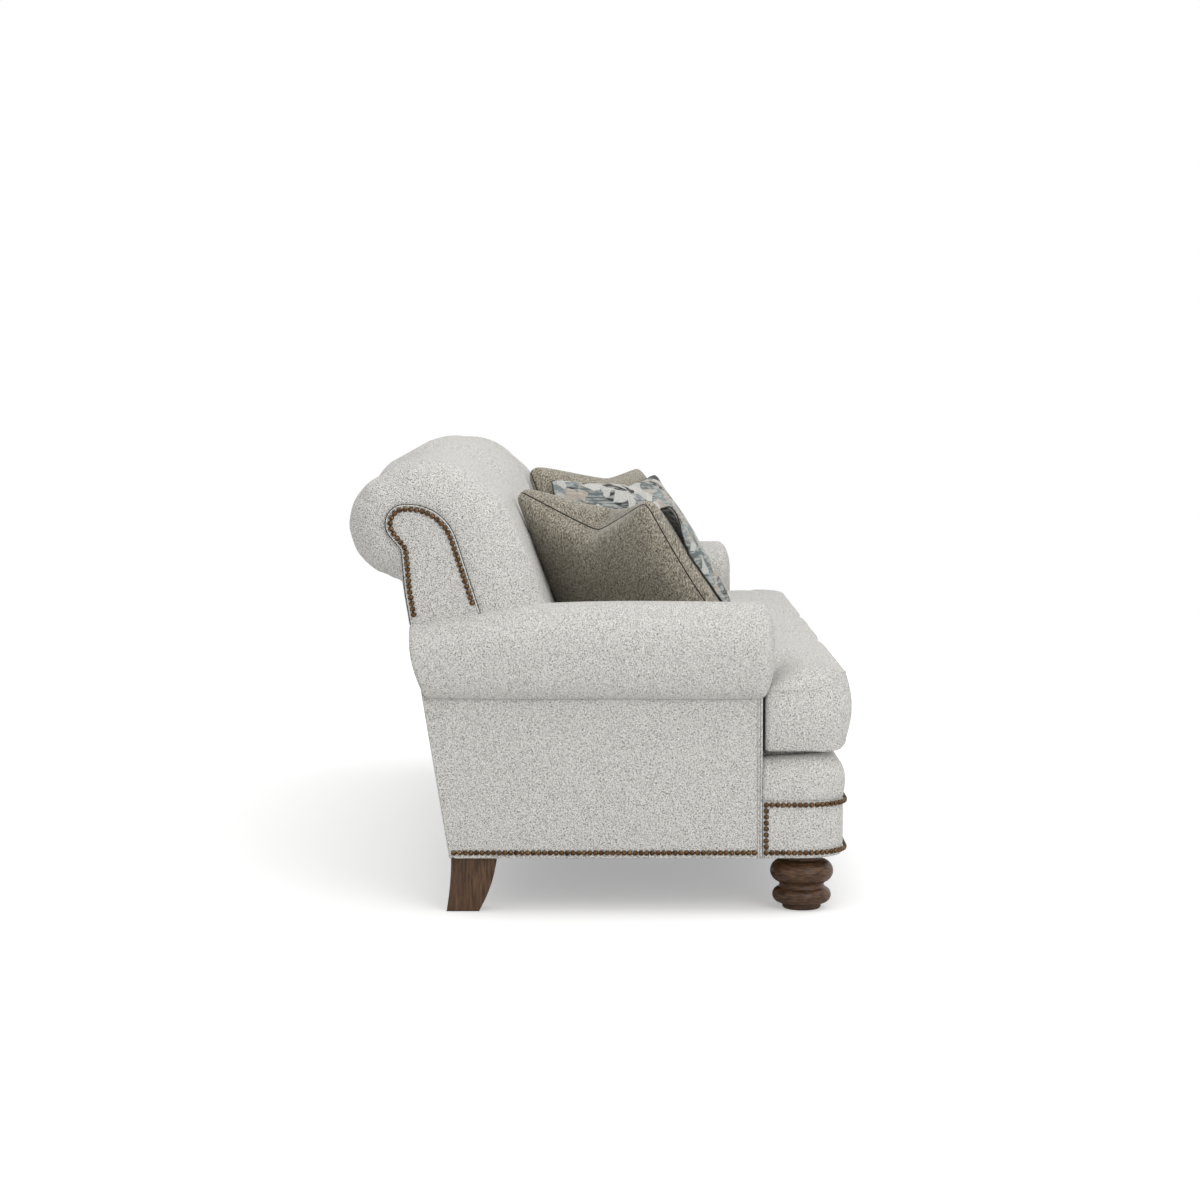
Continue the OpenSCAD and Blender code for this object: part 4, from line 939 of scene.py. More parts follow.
def cushion_cover(name, x0, x1, x2, side):
    """The closed cover before filling, with its top and bottom seams."""
    plan, nx, cells, walk = cushion_grid(x0, x1, x2)
    x, y = plan.T
    base = seam_height(x, y, x1, x2)
    turned = towards_gap(x, x0, x1, x2)
    back = GAP_BACK * turned * (1 - ease((y - CUSHION_Y0) / 0.150))
    top = np.column_stack([x, y + back, base + crown_height(x, y, x0, x1, x2) - GAP_DROP * turned])
    rise = 1 - np.clip(inside_gap(x, y, x0, x1, x2) / LOW_ROUND, 0, 1)
    toe = 1 - np.clip((y - CUSHION_Y0) / TOE_IN, 0, 1)
    low = np.column_stack([x, y + back, SEAT_Z + 0.001 + LOW_ROUND * rise ** 2 + TOE_UP * toe ** 2])
    loop = np.array(walk)
    count = len(plan)
    levels = np.linspace(0, 1, 12)[1:-1]
    run = np.roll(plan[loop], -1, 0) - np.roll(plan[loop], 1, 0)
    outwards = np.column_stack([run[:, 1], -run[:, 0], 0 * run[:, 0]])
    outwards = outwards / np.linalg.norm(run, axis=1)[:, None]
    sides = [low[loop] + (top[loop] - low[loop]) * f + outwards * SIDE_PUFF * math.sin(math.pi * f)
             for f in levels]
    points = np.vstack([top, low, *sides])
    faces = []
    for i, j in cells:
        a = j * nx + i
        faces.append((a, a + 1, a + nx + 1, a + nx))
        faces.append((count + a, count + a + nx, count + a + nx + 1, count + a + 1))
    n = len(loop)
    levels_of = [count + loop] + [2 * count + k * n + np.arange(n) for k in range(len(levels))] + [loop]
    for lower, upper in zip(levels_of, levels_of[1:]):
        faces += [(lower[k], lower[(k + 1) % n], upper[(k + 1) % n], upper[k]) for k in range(n)]
    used = np.unique([k for f in faces for k in f])
    place = np.full(len(points), -1)
    place[used] = np.arange(len(used))
    mirror = np.array([side, 1, 1])
    made = mesh_piece(name, points[used] * mirror, [tuple(int(place[k]) for k in f) for f in faces])
    outward(made)
    return made, top[loop] * mirror, low[loop] * mirror


print("side strip puffs out by", SIDE_PUFF * 1000, "mm")

# %% [markdown]
# Each cushion is covered, filled and kept between its neighbours, and then gets its two welts.
# The right cushion is the left one drawn with the sign of x turned.

# %% The three seat cushions
SEAT_GAP = 0.0005
CUSHIONS = (("left", BAY + SEAT_GAP, ARM_IN - 0.001, EAR_X, 1),
            ("middle", -BAY + SEAT_GAP, BAY - SEAT_GAP, 0, 1),
            ("right", BAY + SEAT_GAP, ARM_IN - 0.001, EAR_X, -1))
for name, x0, x1, x2, side in CUSHIONS:
    cover, seam, low_seam = cushion_cover(f"seat_cushion_{name}", x0, x1, x2, side)
    eared = x2 > x1

    def pins(points, seam=seam, low=low_seam):
        return np.maximum(nearest_share(points, seam, 0.016), nearest_share(points, low, 0.016))

    def limits(points, x0=x0, x1=x1, eared=eared, side=side):
        p = points * [side, 1, 1]
        ear = (p[:, 0] > x1 + 0.002) & (p[:, 1] < EAR_Y + 0.02) & eared
        p[:, 0] = np.clip(p[:, 0], x0 + 0.0002, np.where(ear, 9.0, x1 - 0.0002))
        p[:, 1] = np.clip(p[:, 1], FRONT_Y - 0.013, np.where(ear, EAR_Y + 0.001, SEAT_BACK_Y - 0.0005))
        p[:, 2] = np.clip(p[:, 2], SEAT_Z + 0.0006, SEAT_Z + CUSHION_T + CROWN + 0.001)
        return p * [side, 1, 1]

    cover, far = filled(cover, 0.008, 0.013, 4.0, pins, limits)
    dress(cover, CLOTH, "cloth", f"seat_{name}", f"cushion_{name}", fill=0.8)
    for part, line in (("top", seam), ("low", low_seam)):
        line = laid_on(cover, along(line, 220, closed=True), -0.0004)
        cord = welt(f"welt_cushion_{part}_{name}", line, 0.0022, closed=True)
        dress(cord, CLOTH, "cloth", f"seat_{name}")
    print(cover.name, len(cover.data.polygons), "faces, moved", round(far * 1000, 1), "mm")

# %% [markdown]
# The throw pillows are two squares sewn round the edge and stuffed with down. Each was dented
# with the edge of a hand, so its top seam makes a V between two ears. The plain ones are a heavy
# taupe chenille, the patterned ones a printed cloth with blurred patches.

# %% The cloths of the pillows
def chenille(name, light, mid, dark):
    """Thick tufted yarn: short strokes of light and dark."""
    material, tree, shader, add = new_material(name, 0.95, 0.25)
    place = add("ShaderNodeTexCoord").outputs["Object"]
    stretch = add("ShaderNodeMapping", [("Vector", place)])
    stretch.inputs["Scale"].default_value = (1.0, 1.0, 0.55)
    stretch.inputs["Rotation"].default_value = (0.3, 0.4, 0.2)
    grain = add("ShaderNodeTexNoise", [("Vector", stretch.outputs[0])], Scale=330.0, Detail=3.0,
                Roughness=0.7)
    slow = add("ShaderNodeTexNoise", [("Vector", place)], Scale=28.0, Detail=2.0)
    tone = ramp(add, grain.outputs["Fac"], [(0.34, dark), (0.50, mid), (0.66, light)])
    drift = ramp(add, slow.outputs["Fac"], [(0.3, (0.90,)), (0.7, (1.0,))])
    mix = add("ShaderNodeMix", data_type="RGBA", blend_type="MULTIPLY")
    mix.inputs[0].default_value = 1.0
    tree.links.new(tone, mix.inputs[6])
    tree.links.new(drift, mix.inputs[7])
    tree.links.new(mix.outputs[2], shader.inputs["Base Color"])
    relief = add("ShaderNodeBump", [("Height", grain.outputs["Fac"])], Strength=0.8, Distance=0.0018)
    tree.links.new(relief.outputs["Normal"], shader.inputs["Normal"])
    return material


def patchwork(name):
    """Patches of pale, grey green, beige and slate, crossed by pale streaks and faint threads."""
    material, tree, shader, add = new_material(name, 0.9, 0.1)
    place = add("ShaderNodeTexCoord").outputs["Object"]
    bend = add("ShaderNodeTexNoise", [("Vector", place)], Scale=9.0, Detail=2.0)
    push = add("ShaderNodeVectorMath", [(0, bend.outputs["Color"])], operation="SCALE")
    push.inputs["Scale"].default_value = 0.09
    moved = add("ShaderNodeVectorMath", [(0, place), (1, push.outputs[0])], operation="ADD")
    patches = add("ShaderNodeTexVoronoi", [("Vector", moved.outputs[0])], Scale=30.0, Randomness=1.0)
    pick = add("ShaderNodeSeparateColor", [("Color", patches.outputs["Color"])])
    tint = ramp(add, pick.outputs[0], [(0.0, linear(196, 196, 192)), (0.22, linear(134, 145, 144)),
                                       (0.40, linear(208, 206, 200)), (0.54, linear(176, 166, 154)),
                                       (0.68, linear(104, 114, 114)), (0.87, linear(56, 58, 58))])
    tint.node.color_ramp.interpolation = "CONSTANT"
    threads = add("ShaderNodeTexNoise", [("Vector", place)], Scale=420.0, Detail=2.0)
    streak_place = add("ShaderNodeMapping", [("Vector", place)])
    streak_place.inputs["Scale"].default_value = (30.0, 30.0, 190.0)
    streak_place.inputs["Rotation"].default_value = (0.6, 0.2, 0.5)
    streaks = add("ShaderNodeTexNoise", [("Vector", streak_place.outputs[0])], Scale=1.0, Detail=3.0)
    broken = ramp(add, streaks.outputs["Fac"], [(0.46, (0.0,)), (0.62, (0.6,))])
    pale = add("ShaderNodeMix", [(0, broken)], data_type="RGBA", blend_type="MIX")
    pale.inputs[7].default_value = (*linear(202, 201, 196), 1)
    tree.links.new(tint, pale.inputs[6])
    weave = ramp(add, threads.outputs["Fac"], [(0.35, (0.66,)), (0.6, (1.0,))])
    mix = add("ShaderNodeMix", data_type="RGBA", blend_type="MULTIPLY")
    mix.inputs[0].default_value = 1.0
    tree.links.new(pale.outputs[2], mix.inputs[6])
    tree.links.new(weave, mix.inputs[7])
    tree.links.new(mix.outputs[2], shader.inputs["Base Color"])
    relief = add("ShaderNodeBump", [("Height", threads.outputs["Fac"])], Strength=0.5, Distance=0.001)
    tree.links.new(relief.outputs["Normal"], shader.inputs["Normal"])
    return material


TAUPE = chenille("taupe_chenille", linear(208, 201, 184), linear(148, 141, 126), linear(58, 53, 45))
PATCHES = patchwork("patch_print")
# painted shadow: dark tones for the shaded line along the pillow seams
SEAM_SHADOW_PAINT = chenille("seam_shadow", linear(70, 66, 58), linear(52, 49, 43), linear(34, 32, 28))
print("pillow cloths", TAUPE.name, PATCHES.name, SEAM_SHADOW_PAINT.name)

# %% [markdown]
# A pillow is drawn in its own plane: a and b run from -1 to 1 across and up it, the sides draw
# in between the corners and the top dips. The plane leans back and is turned across the corner
# of the seat.

# %% Plane of a pillow
PILLOW_W, PILLOW_H, PILLOW_UP = 0.464, 0.425, 0.250
PILLOW_DOWN = PILLOW_H - PILLOW_UP
FRONT_FULL, REAR_FULL = 0.080, 0.066
YAW, LEAN = math.radians(36.5), math.radians(39.5)
TUCK = 0.120
DENT_AT, DENT_W = -0.02, 0.95
ACROSS = np.array([-math.cos(YAW), math.sin(YAW), 0])
AHEAD = np.array([-math.sin(YAW), -math.cos(YAW), 0])
UPWARD = math.cos(LEAN) * np.array([0, 0, 1]) - math.sin(LEAN) * AHEAD
FACEWARD = math.cos(LEAN) * AHEAD + math.sin(LEAN) * np.array([0, 0, 1])
CROWN_Z = SEAT_Z + CUSHION_T + 0.032
PILLOW_AT = np.array([ARM_IN - 0.055 - PILLOW_W / 2 * math.cos(YAW),
                      SEAT_BACK_Y - 0.001 - PILLOW_W / 2 * math.sin(YAW),
                      CROWN_Z + PILLOW_DOWN * math.cos(LEAN) - 0.009])
REST_EDGE, REST_GAP = 0.030, 0.003


def plump(t, power=0.55):
    """Fullness across a pillow, from 1 in the middle to 0 at its seam."""
    return np.power(np.maximum(0, 1 - t * t), power)


def pillow_plane(a, b, dent, depth):
    """Place in the plane of a pillow: drawn in sides, two ears and the dent between them."""
    corner = 1 - 0.035 * (a * b) ** 20
    x = corner * a * PILLOW_W / 2 * (1 - 0.09 * (1 - b * b))
    from_dent = np.hypot(a - DENT_AT, 0.05) - 0.05
    sink = dent * np.maximum(0, 1 - from_dent / DENT_W) ** 1.15 * np.abs(b) ** depth
    top = b * PILLOW_UP * (1 - 0.04 * (1 - a * a)) - sink
    low = b * PILLOW_DOWN * (1 - 0.03 * (1 - a * a))
    return x, corner * np.where(b > 0, top, low)


def settled(x, y):
    """How far back the place x, y settles: the lower inner corner slips in under the padding."""
    return TUCK * (x / PILLOW_W + 0.5) * (PILLOW_UP - y) / PILLOW_H


def pillow_space(x, y, n):
    """Points of the room from places of the plane and heights over it."""
    p = PILLOW_AT + x[..., None] * ACROSS + y[..., None] * UPWARD + n[..., None] * FACEWARD
    p[..., 1] += settled(x, y)
    return p


def pillow_places(p):
    """The other way round: place in the plane and height over it of points of the room."""
    q = p - PILLOW_AT
    x, y = q @ ACROSS, q @ UPWARD
    for _ in range(4):
        r = q - settled(x, y)[:, None] * np.array([0, 1, 0])
        x, y = r @ ACROSS, r @ UPWARD
    return x, y, r @ FACEWARD


print("pillows lean back by", round(math.degrees(LEAN), 1), "degrees")

# %% [markdown]
# What a pillow may touch is worked out as formulas too. The patterned pillow lies on the face of
# the plain one, at a height over the same plane, and both stop at the padding of the back.

# %% What the pillows rest on
def rest_height(x, y):
    """Height over the plane of the plain pillow at which the patterned one lies on it."""
    b = np.clip(np.where(y > 0, y / PILLOW_UP, y / PILLOW_DOWN), -1, 1)
    a = np.clip(x * 2 / PILLOW_W / (1 - 0.09 * (1 - b * b)), -1, 1)
    ear = 0.030 * (x * 2 / PILLOW_W) ** 4 * ease((y - 0.06) / 0.12)
    return np.maximum(REST_EDGE, REST_GAP + FRONT_FULL * plump(a, 0.32) * plump(b, 0.27)) + ear


def pad_front(z):
    """Front of the padding of the back at height z."""
    turn = TOP_PAD[1] + TOP_R * math.sin(FLANK_LEAN)
    rounded = TOP_PAD[0] - np.sqrt(np.maximum(TOP_R ** 2 - (z - TOP_PAD[1]) ** 2, 0))
    return np.where(z > turn, rounded, [flank(v) for v in z])


print("front of the padding over the seat", pad_front(np.array([CROWN_Z])).round(3))

# %% [markdown]
# The cover is two faces sewn round the edge, with points close together by the seam. The dent
# reaches far down the rear face and only a little way down the front one.

# %% Cover of a pillow
FRONT_DEPTH, REAR_DEPTH = 4.8, 1.6


def pillow_cover(name, side, dent, turn, size, shift, heights):
    """Closed cover of a pillow from its two faces, with the line of its seam."""
    n = 44
    t = np.sin(np.linspace(-math.pi / 2, math.pi / 2, n))
    a, b = np.meshgrid(t, t)
    faces_of = []
    for face, depth in enumerate((FRONT_DEPTH, REAR_DEPTH)):
        x, y = pillow_plane(a, b, dent, depth)
        drawn_up = turn * (x + PILLOW_W / 2)
        x, y = x * size[0] / PILLOW_W + shift[0], y * size[1] / PILLOW_H + shift[1] + drawn_up
        faces_of.append(pillow_space(x, y, heights(a, b, x, y)[face]).reshape(-1, 3))
    points = np.vstack(faces_of)
    edge = (np.abs(a) > 0.99999) | (np.abs(b) > 0.99999)
    twin = np.arange(n * n) + np.where(edge.ravel(), 0, n * n)
    faces = []
    for r in range(n - 1):
        for c in range(n - 1):
            q = (r * n + c, r * n + c + 1, (r + 1) * n + c + 1, (r + 1) * n + c)
            faces += [q, tuple(int(twin[k]) for k in q[::-1])]
    points = points * [side, 1, 1]
    used = sorted({k for f in faces for k in f})
    place = {k: i for i, k in enumerate(used)}
    made = mesh_piece(name, points[used], [tuple(place[k] for k in f) for f in faces])
    outward(made)
    walk = [(0, c) for c in range(n)] + [(r, n - 1) for r in range(1, n)]
    walk += [(n - 1, c) for c in range(n - 2, -1, -1)] + [(r, 0) for r in range(n - 2, 0, -1)]
    return made, np.array([points[r * n + c] for r, c in walk])


print("a cover is drawn by", pillow_cover.__name__)

# %% [markdown]
# The plain pillows are stuffed full right up to the seam. The patterned ones are softer, with a
# fold below the dent. After the filling a dark tube of painted seam shadow is laid on the seam, as in the
# photograph.

# %% The four throw pillows
PATTERNED_FULL = 0.076


def crease(a, b, full):
    """The fold that runs down from the dent."""
    down = np.clip((b - 0.1) / 0.9, 0, 1) ** 1.2
    return 0.016 * np.exp(-((a - DENT_AT) / 0.10) ** 2) * down * (full > 0.004)


def plain_heights(a, b, x, y):
    """Heights of the front and the rear face of a plain pillow over its plane."""
    full = plump(a, 0.32) * plump(b, 0.27)
    return FRONT_FULL * full, -REAR_FULL * full


def patterned_heights(a, b, x, y):
    """Heights of the two faces of a patterned pillow, which lies on the plain one."""
    full = PATTERNED_FULL * plump(a, 0.70) * plump(b, 0.60)
    rest = rest_height(x, y)
    return rest + np.maximum(full - crease(a, b, full), 0), rest


CUTS = {"plain": ((PILLOW_W, PILLOW_H), (0, 0), plain_heights),
        "patterned": ((0.456, 0.418), (0.004, -0.052), patterned_heights)}
PILLOWS = (("plain", "left", 1, 0.060, 0.045), ("plain", "right", -1, 0.086, 0.022),
           ("patterned", "left", 1, 0.060, 0), ("patterned", "right", -1, 0.066, 0))
for kind, name, side, dent, turn in PILLOWS:
    plain = kind == "plain"
    cover, line = pillow_cover(f"pillow_{kind}_cover_{name}", side, dent, turn, *CUTS[kind])

    def limits(points, plain=plain, side=side):
        p = points * [side, 1, 1]
        x, y, n = pillow_places(p)
        rest = rest_height(x, y)
        lift = np.minimum(0, rest - 0.0020 - n) if plain else np.maximum(0, rest - 0.0004 - n)
        p = p + lift[:, None] * FACEWARD
        p[:, 1] = np.minimum(p[:, 1], pad_front(p[:, 2]) - 0.0015)
        p[:, 2] = np.maximum(p[:, 2], CROWN_Z + 0.0008)
        return p * [side, 1, 1]

    def pins(points, line=line):
        return nearest_share(points, np.vstack([line, line[:1]]), 0.014)

    cover, far = filled(cover, 0.0065, 0.006, 3.0, pins, limits)
    finish, slot, body = TAUPE if plain else PATCHES, f"{kind}_pillow", f"{kind}_{name}"
    dress(cover, finish, slot, body, f"pillow_{kind}_{name}", fill=0.7)
    edge_line = laid_on(cover, along(line, 260, closed=True))
    edge_line[:, 2] = np.maximum(edge_line[:, 2], CROWN_Z + 0.003)
    # painted shadow: a dark tube laid on the seam, where the two faces meet in shade
    seam_shadow_tube = welt(f"seam_{kind}_{name}", edge_line, 0.0016, closed=True)
    dress(seam_shadow_tube, SEAM_SHADOW_PAINT, slot, body)
    print(cover.name, len(cover.data.polygons), "faces, moved", round(far * 1000, 1), "mm")

# %% [markdown]
# The nail heads are small domes of dark bronze, worn lighter in places. A metallic shader with a
# stained colour and a fine bump gives that without any picture.

# %% Bronze of the nails
def antique_bronze():
    """Dark bronze with lighter worn places."""
    material, tree, shader, add = new_material("antique_bronze", 0.38)
    shader.inputs["Metallic"].default_value = 0.85
    place = add("ShaderNodeTexCoord").outputs["Object"]
    stain = add("ShaderNodeTexNoise", [("Vector", place)], Scale=160.0, Detail=3.0)
    tone = ramp(add, stain.outputs["Fac"], [(0.3, linear(56, 41, 27)), (0.5, linear(94, 71, 48)),
                                            (0.75, linear(144, 114, 82))])
    tree.links.new(tone, shader.inputs["Base Color"])
    relief = add("ShaderNodeBump", [("Height", stain.outputs["Fac"])], Strength=0.25, Distance=0.0008)
    tree.links.new(relief.outputs["Normal"], shader.inputs["Normal"])
    return material


BRONZE = antique_bronze()
print("nails are of", BRONZE.name)

# %% [markdown]
# All nails of a row are one solid node. Points that an edge joins, or that lie in the same place,
# belong to the same nail, so the loose islands of the mesh are the nails.

# %% Finding the nails
def nail_islands(node):
    """Points of each nail, found through the edges of the mesh and the doubles at its rims."""
    mesh = frame["nodes"][node].data
    co = np.zeros(len(mesh.vertices) * 3)
    mesh.vertices.foreach_get("co", co)
    co = co.reshape(-1, 3)
    parent = np.arange(len(co))

    def root(i):
        while parent[i] != i:
            parent[i] = parent[parent[i]]
            i = parent[i]
        return i

    first = {}
    for i, p in enumerate(map(tuple, np.round(co, 5))):
        if p in first:
            parent[root(i)] = root(first[p])
        else:
            first[p] = i
    for edge in mesh.edges:
        a, b = root(edge.vertices[0]), root(edge.vertices[1])
        if a != b:
            parent[a] = b
    groups = {}
    for i in range(len(co)):
        groups.setdefault(root(i), []).append(i)
    return [co[g] for g in groups.values()]


NAIL_ROWS = [n for n in frame["nodes"] if n.startswith("nails")]
print("rows of nails", len(NAIL_ROWS))

# %% [markdown]
# A finer dome is set on the base of each nail, lifted a little so that it stands clear of the
# cloth. The flattest direction of an island is the way the nail faces, and its wide end is the
# base.

# %% Nail heads
NAIL_R, NAIL_H, NAIL_LIFT = 0.0058, 0.0046, 0.0008


def dome(n=10):
    """Points of one dome in rings, base first, and its faces."""
    t = np.linspace(0, 2 * math.pi, n + 1)[:-1]
    rings = []
    for a in np.radians([0, 24, 48, 70]):
        r = NAIL_R * math.cos(a) ** 0.7
        rings.append(np.stack([r * np.cos(t), r * np.sin(t), np.full(n, NAIL_H * math.sin(a))], 1))
    faces = row_faces(4, n, True) + [(3 * n + c, 3 * n + (c + 1) % n, 4 * n) for c in range(n)]
    faces.append(tuple(range(n - 1, -1, -1)))
    return np.vstack([*rings, [[0, 0, NAIL_H]]]), faces


DOME, DOME_FACES = dome()
for node in NAIL_ROWS:
    points, faces = [], []
    for island in nail_islands(node):
        middle = island.mean(0)
        spread = island - middle
        _, _, axes = np.linalg.svd(spread, full_matrices=False)
        facing = axes[2]
        reach = spread @ facing
        wide = np.linalg.norm(spread - np.outer(reach, facing), axis=1)
        if wide[reach > 0].mean() > wide[reach < 0].mean():
            facing = -facing
            reach = -reach
        base = middle + facing * (reach.min() + NAIL_LIFT)
        u = np.cross(facing, [0.3, 0.5, 0.81])
        u /= np.linalg.norm(u)
        v = np.cross(facing, u)
        start = len(points) * len(DOME)
        points.append(base + DOME[:, :1] * u + DOME[:, 1:2] * v + DOME[:, 2:] * facing)
        faces += [tuple(k + start for k in f) for f in DOME_FACES]
    heads = mesh_piece(node.replace("nails", "nail_heads"), np.vstack(points), faces)
    dress(heads, BRONZE, "nails", "sofa", node)
    print(heads.name, len(points), "nails")

# %% [markdown]
# Feet and legs are turned and sawn from solid wood, stained dark. The grain runs up the piece as
# long dark lines: a noise that is pulled out along the piece, darkened here and there by a slow
# one. The solids are right as they are, so they keep their shape and only get the finish.

# %% Stained wood
def stained_wood(name, light, mid, dark, stretch):
    """Stained wood with its grain stretched along the axis that has the smallest scale."""
    material, tree, shader, add = new_material(name, 0.42)
    shader.inputs["Coat Weight"].default_value = 0.12
    place = add("ShaderNodeTexCoord").outputs["Object"]
    pull = add("ShaderNodeMapping", [("Vector", place)])
    pull.inputs["Scale"].default_value = stretch
    grain = add("ShaderNodeTexNoise", [("Vector", pull.outputs[0])], Scale=1.0, Detail=6.0, Roughness=0.62)
    cloud = add("ShaderNodeTexNoise", [("Vector", place)], Scale=14.0, Detail=2.0)
    tone = ramp(add, grain.outputs["Fac"], [(0.30, dark), (0.50, mid), (0.72, light)])
    wear = ramp(add, cloud.outputs["Fac"], [(0.3, (0.82,)), (0.7, (1.0,))])
    mix = add("ShaderNodeMix", data_type="RGBA", blend_type="MULTIPLY")
    mix.inputs[0].default_value = 1.0
    tree.links.new(tone, mix.inputs[6])
    tree.links.new(wear, mix.inputs[7])
    tree.links.new(mix.outputs[2], shader.inputs["Base Color"])
    relief = add("ShaderNodeBump", [("Height", grain.outputs["Fac"])], Strength=0.2, Distance=0.0008)
    tree.links.new(relief.outputs["Normal"], shader.inputs["Normal"])
    return material


FOOT_WOOD = stained_wood("stained_wood", linear(118, 85, 58), linear(82, 59, 41),
                         linear(38, 27, 19), (60.0, 60.0, 260.0))
LEG_WOOD = stained_wood("stained_leg_wood", linear(122, 90, 64), linear(87, 64, 45),
                        linear(44, 31, 21), (230.0, 230.0, 22.0))
FRAME_WOOD = stained_wood("bare_hardwood", linear(224, 196, 152), linear(206, 172, 124),
                          linear(170, 132, 88), (16.0, 140.0, 140.0))
print("woods", FOOT_WOOD.name, LEG_WOOD.name, FRAME_WOOD.name)

# %% [markdown]
# The pieces inside the sofa never show at rest, but the model is opened by lifting cushions, so
# they get plain finishes too: spring steel, jute webbing, foam and a black dust cloth.

# %% Finishes of the inner pieces
def plain_finish(name, light, dark, scale, rough, metal=0.0, bump=0.2):
    """An even finish of two near tones with a fine bump."""
    material, tree, shader, add = new_material(name, rough)
    shader.inputs["Metallic"].default_value = metal
    place = add("ShaderNodeTexCoord").outputs["Object"]
    grain = add("ShaderNodeTexNoise", [("Vector", place)], Scale=scale, Detail=3.0)
    tone = ramp(add, grain.outputs["Fac"], [(0.35, dark), (0.65, light)])
    tree.links.new(tone, shader.inputs["Base Color"])
    relief = add("ShaderNodeBump", [("Height", grain.outputs["Fac"])], Strength=bump, Distance=0.0008)
    tree.links.new(relief.outputs["Normal"], shader.inputs["Normal"])
    return material


STEEL = plain_finish("spring_steel", linear(168, 170, 174), linear(120, 122, 126), 240.0, 0.35, 1.0, 0.1)
FOAM = plain_finish("cushion_foam", linear(240, 230, 196), linear(226, 212, 172), 300.0, 0.9)
JUTE = plain_finish("jute_webbing", linear(192, 164, 120), linear(140, 112, 74), 320.0, 0.9, 0.0, 0.6)
BLACK_CLOTH = plain_finish("black_dust_cloth", linear(58, 58, 58), linear(32, 32, 32), 400.0, 0.95)
print("inner finishes", STEEL.name, FOAM.name, JUTE.name, BLACK_CLOTH.name)

# %% [markdown]
# Every solid that still shows takes the finish of its slot in the record. The turned feet and the
# sawn legs share a slot, and each gets its own direction of grain.

# %% Finishes on the solids
FINISH_OF = {"frame_wood": FRAME_WOOD, "steel": STEEL, "foam": FOAM, "webbing": JUTE,
             "dust_cloth": BLACK_CLOTH}
SLOT_OF = {p["node"]: p["material_slot"] for p in frame["record"]["subparts"]}
for node, solid in frame["nodes"].items():
    if solid.hide_render:
        continue
    finish = FINISH_OF.get(SLOT_OF[node])
    if node.startswith("front_foot"):
        finish = FOOT_WOOD
    elif node.startswith("rear_leg"):
        finish = LEG_WOOD
    solid.data.materials.clear()
    solid.data.materials.append(finish or CLOTH)
    print(node, "gets", (finish or CLOTH).name)

# %% [markdown]
# The picture was taken on white with a soft shadow. The floor glows only to the camera, more with
# distance from the sofa, so that it turns white away from the shadow and lights nothing.

# %% White floor
def white_floor():
    """A grey floor that glows to the camera, so that it is white with a soft shadow."""
    material = bpy.data.materials.new("white_floor")
    material.use_nodes = True
    tree = material.node_tree
    shader = tree.nodes["Principled BSDF"]
    shader.inputs["Base Color"].default_value = (0.80, 0.80, 0.80, 1)
    shader.inputs["Roughness"].default_value = 1.0
    shader.inputs["Specular IOR Level"].default_value = 0.0
    path = tree.nodes.new("ShaderNodeLightPath")
    glow = tree.nodes.new("ShaderNodeEmission")
    glow.inputs["Color"].default_value = (1, 1, 1, 1)
    place = tree.nodes.new("ShaderNodeTexCoord")
    reach = tree.nodes.new("ShaderNodeVectorMath")
    reach.operation = "LENGTH"
    tree.links.new(place.outputs["Object"], reach.inputs[0])
    growth = tree.nodes.new("ShaderNodeMapRange")
    growth.interpolation_type = "SMOOTHSTEP"
    for socket, value in (("From Min", 1.1), ("From Max", 3.4), ("To Min", 0.36), ("To Max", 0.75)):
        growth.inputs[socket].default_value = value
    tree.links.new(reach.outputs["Value"], growth.inputs["Value"])
    strength = tree.nodes.new("ShaderNodeMath")
    strength.operation = "MULTIPLY"
    tree.links.new(path.outputs["Is Camera Ray"], strength.inputs[0])
    tree.links.new(growth.outputs["Result"], strength.inputs[1])
    tree.links.new(strength.outputs[0], glow.inputs["Strength"])
    both = tree.nodes.new("ShaderNodeAddShader")
    tree.links.new(shader.outputs[0], both.inputs[0])
    tree.links.new(glow.outputs[0], both.inputs[1])
    tree.links.new(both.outputs[0], tree.nodes["Material Output"].inputs["Surface"])
    return material


FLOOR_R = 5.5
rim = np.linspace(0, 2 * math.pi, 65)[:-1]
floor_points = np.stack([FLOOR_R * np.cos(rim), FLOOR_R * np.sin(rim), np.full(64, -0.0004)], 1)
floor = mesh_piece("floor", floor_points, [tuple(range(64))])
floor.data.materials.append(white_floor())
floor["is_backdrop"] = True
print("floor", 2 * FLOOR_R, "m across")

# %% [markdown]
# The world is white to the camera and to reflections, and lights the sofa evenly at a lower level.

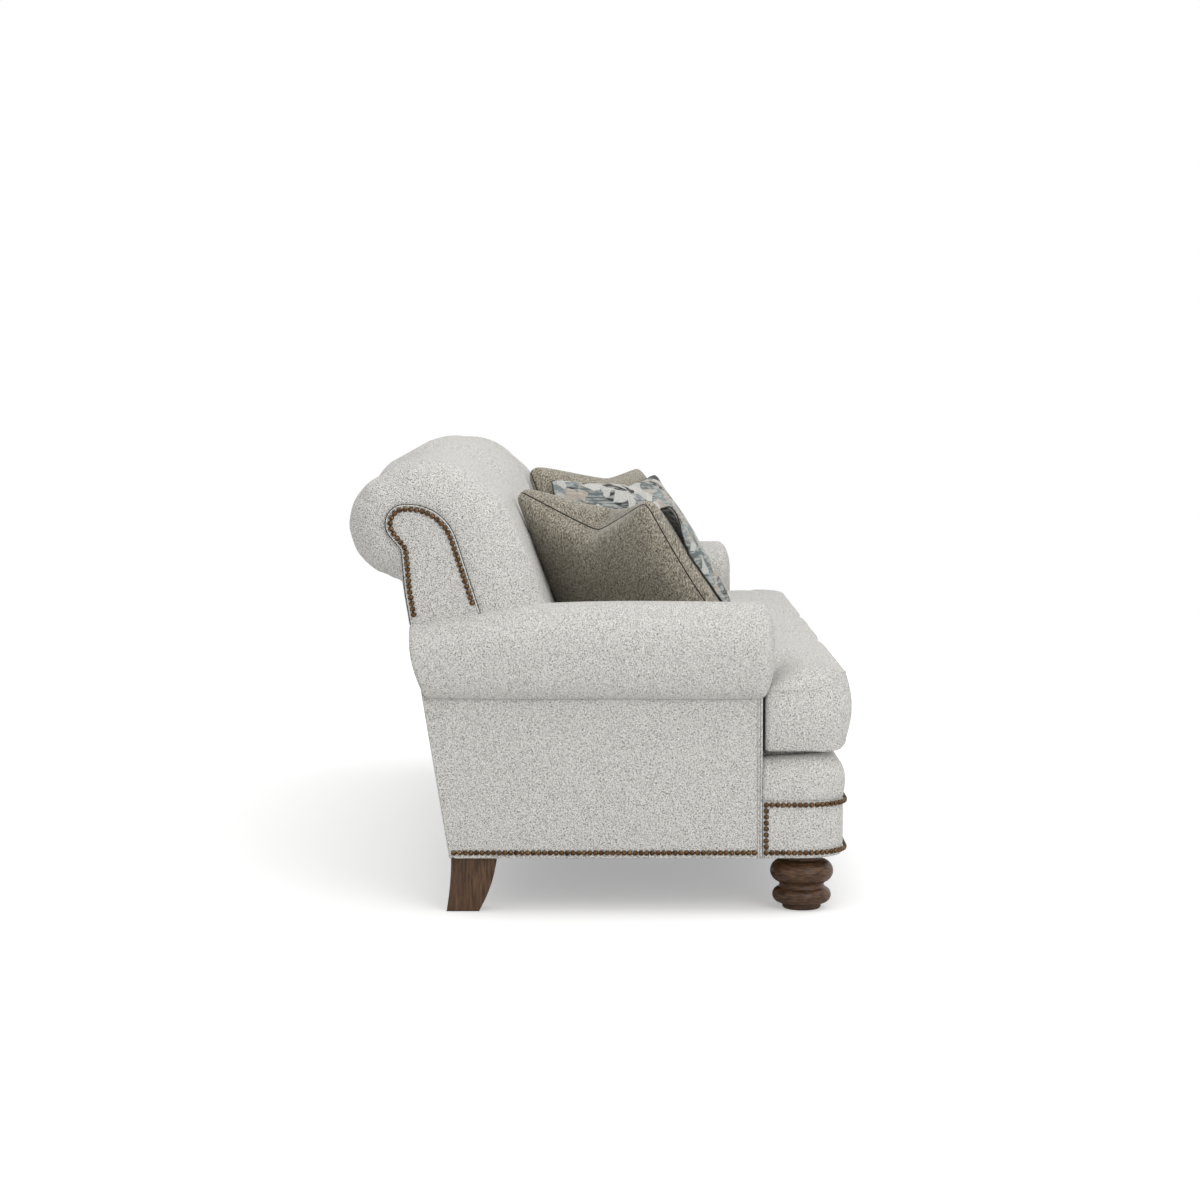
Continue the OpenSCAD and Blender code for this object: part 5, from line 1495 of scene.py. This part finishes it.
# %% World
scene = bpy.context.scene
world = bpy.data.worlds.new("studio")
scene.world = world
world.use_nodes = True
tree = world.node_tree
room = tree.nodes["Background"]
room.inputs["Color"].default_value = (1, 1, 1, 1)
room.inputs["Strength"].default_value = 0.735
white = tree.nodes.new("ShaderNodeBackground")
white.inputs["Color"].default_value = (1, 1, 1, 1)
white.inputs["Strength"].default_value = 1.0
path = tree.nodes.new("ShaderNodeLightPath")
seen = tree.nodes.new("ShaderNodeMath")
seen.operation = "MAXIMUM"
tree.links.new(path.outputs["Is Camera Ray"], seen.inputs[0])
tree.links.new(path.outputs["Is Glossy Ray"], seen.inputs[1])
choice = tree.nodes.new("ShaderNodeMixShader")
tree.links.new(seen.outputs[0], choice.inputs[0])
tree.links.new(room.outputs[0], choice.inputs[1])
tree.links.new(white.outputs[0], choice.inputs[2])
tree.links.new(choice.outputs[0], tree.nodes["World Output"].inputs["Surface"])
print("light of the room", room.inputs["Strength"].default_value)

# %% [markdown]
# Two large square lamps give the light a direction: one above, and one from the side that the
# photograph shows, which opens the shadow under the arm.

# %% Lamps
def area_lamp(name, place, aim, size, power):
    """A square lamp at a place, turned to what it lights."""
    lamp = bpy.data.lights.new(name, "AREA")
    lamp.shape = "SQUARE"
    lamp.size = size
    lamp.energy = power
    made = bpy.data.objects.new(name, lamp)
    made.location = place
    made.rotation_euler = (Vector(aim) - Vector(place)).to_track_quat("-Z", "Y").to_euler()
    scene.collection.objects.link(made)
    return made


area_lamp("top_lamp", (-0.6, -0.6, 4.2), (0, 0, 0.4), 4.5, 66)
area_lamp("side_lamp", (-5.0, -2.6, 2.6), (0, 0, 0.5), 3.0, 66)

# %% [markdown]
# The photograph looks along the width of the sofa from just above it, with a long lens. The
# camera stands where the lines of the picture meet. The
# camera stands where the lines of the picture meet, and its frame is square.

# %% Camera
CAMERA_AT = (-6.818, -0.0135, 1.1223)
CAMERA_DOWN = 4.74
lens = bpy.data.cameras.new("camera")
lens.lens = 85
lens.sensor_width = 36
camera = bpy.data.objects.new("camera", lens)
camera.location = CAMERA_AT
camera.rotation_euler = (math.radians(90 - CAMERA_DOWN), 0, math.radians(-90))
lens.clip_start, lens.clip_end = 0.1, 100
scene.collection.objects.link(camera)
scene.camera = camera
scene.view_settings.view_transform = "Standard"
print("camera at", CAMERA_AT, "with a lens of", lens.lens, "mm")

# %% [markdown]
# The last cell prints how large the solids and the dressed sofa are.

# %% Sizes and finish
low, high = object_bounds()
print("visual box", [round(v, 4) for v in (*low, *high)])
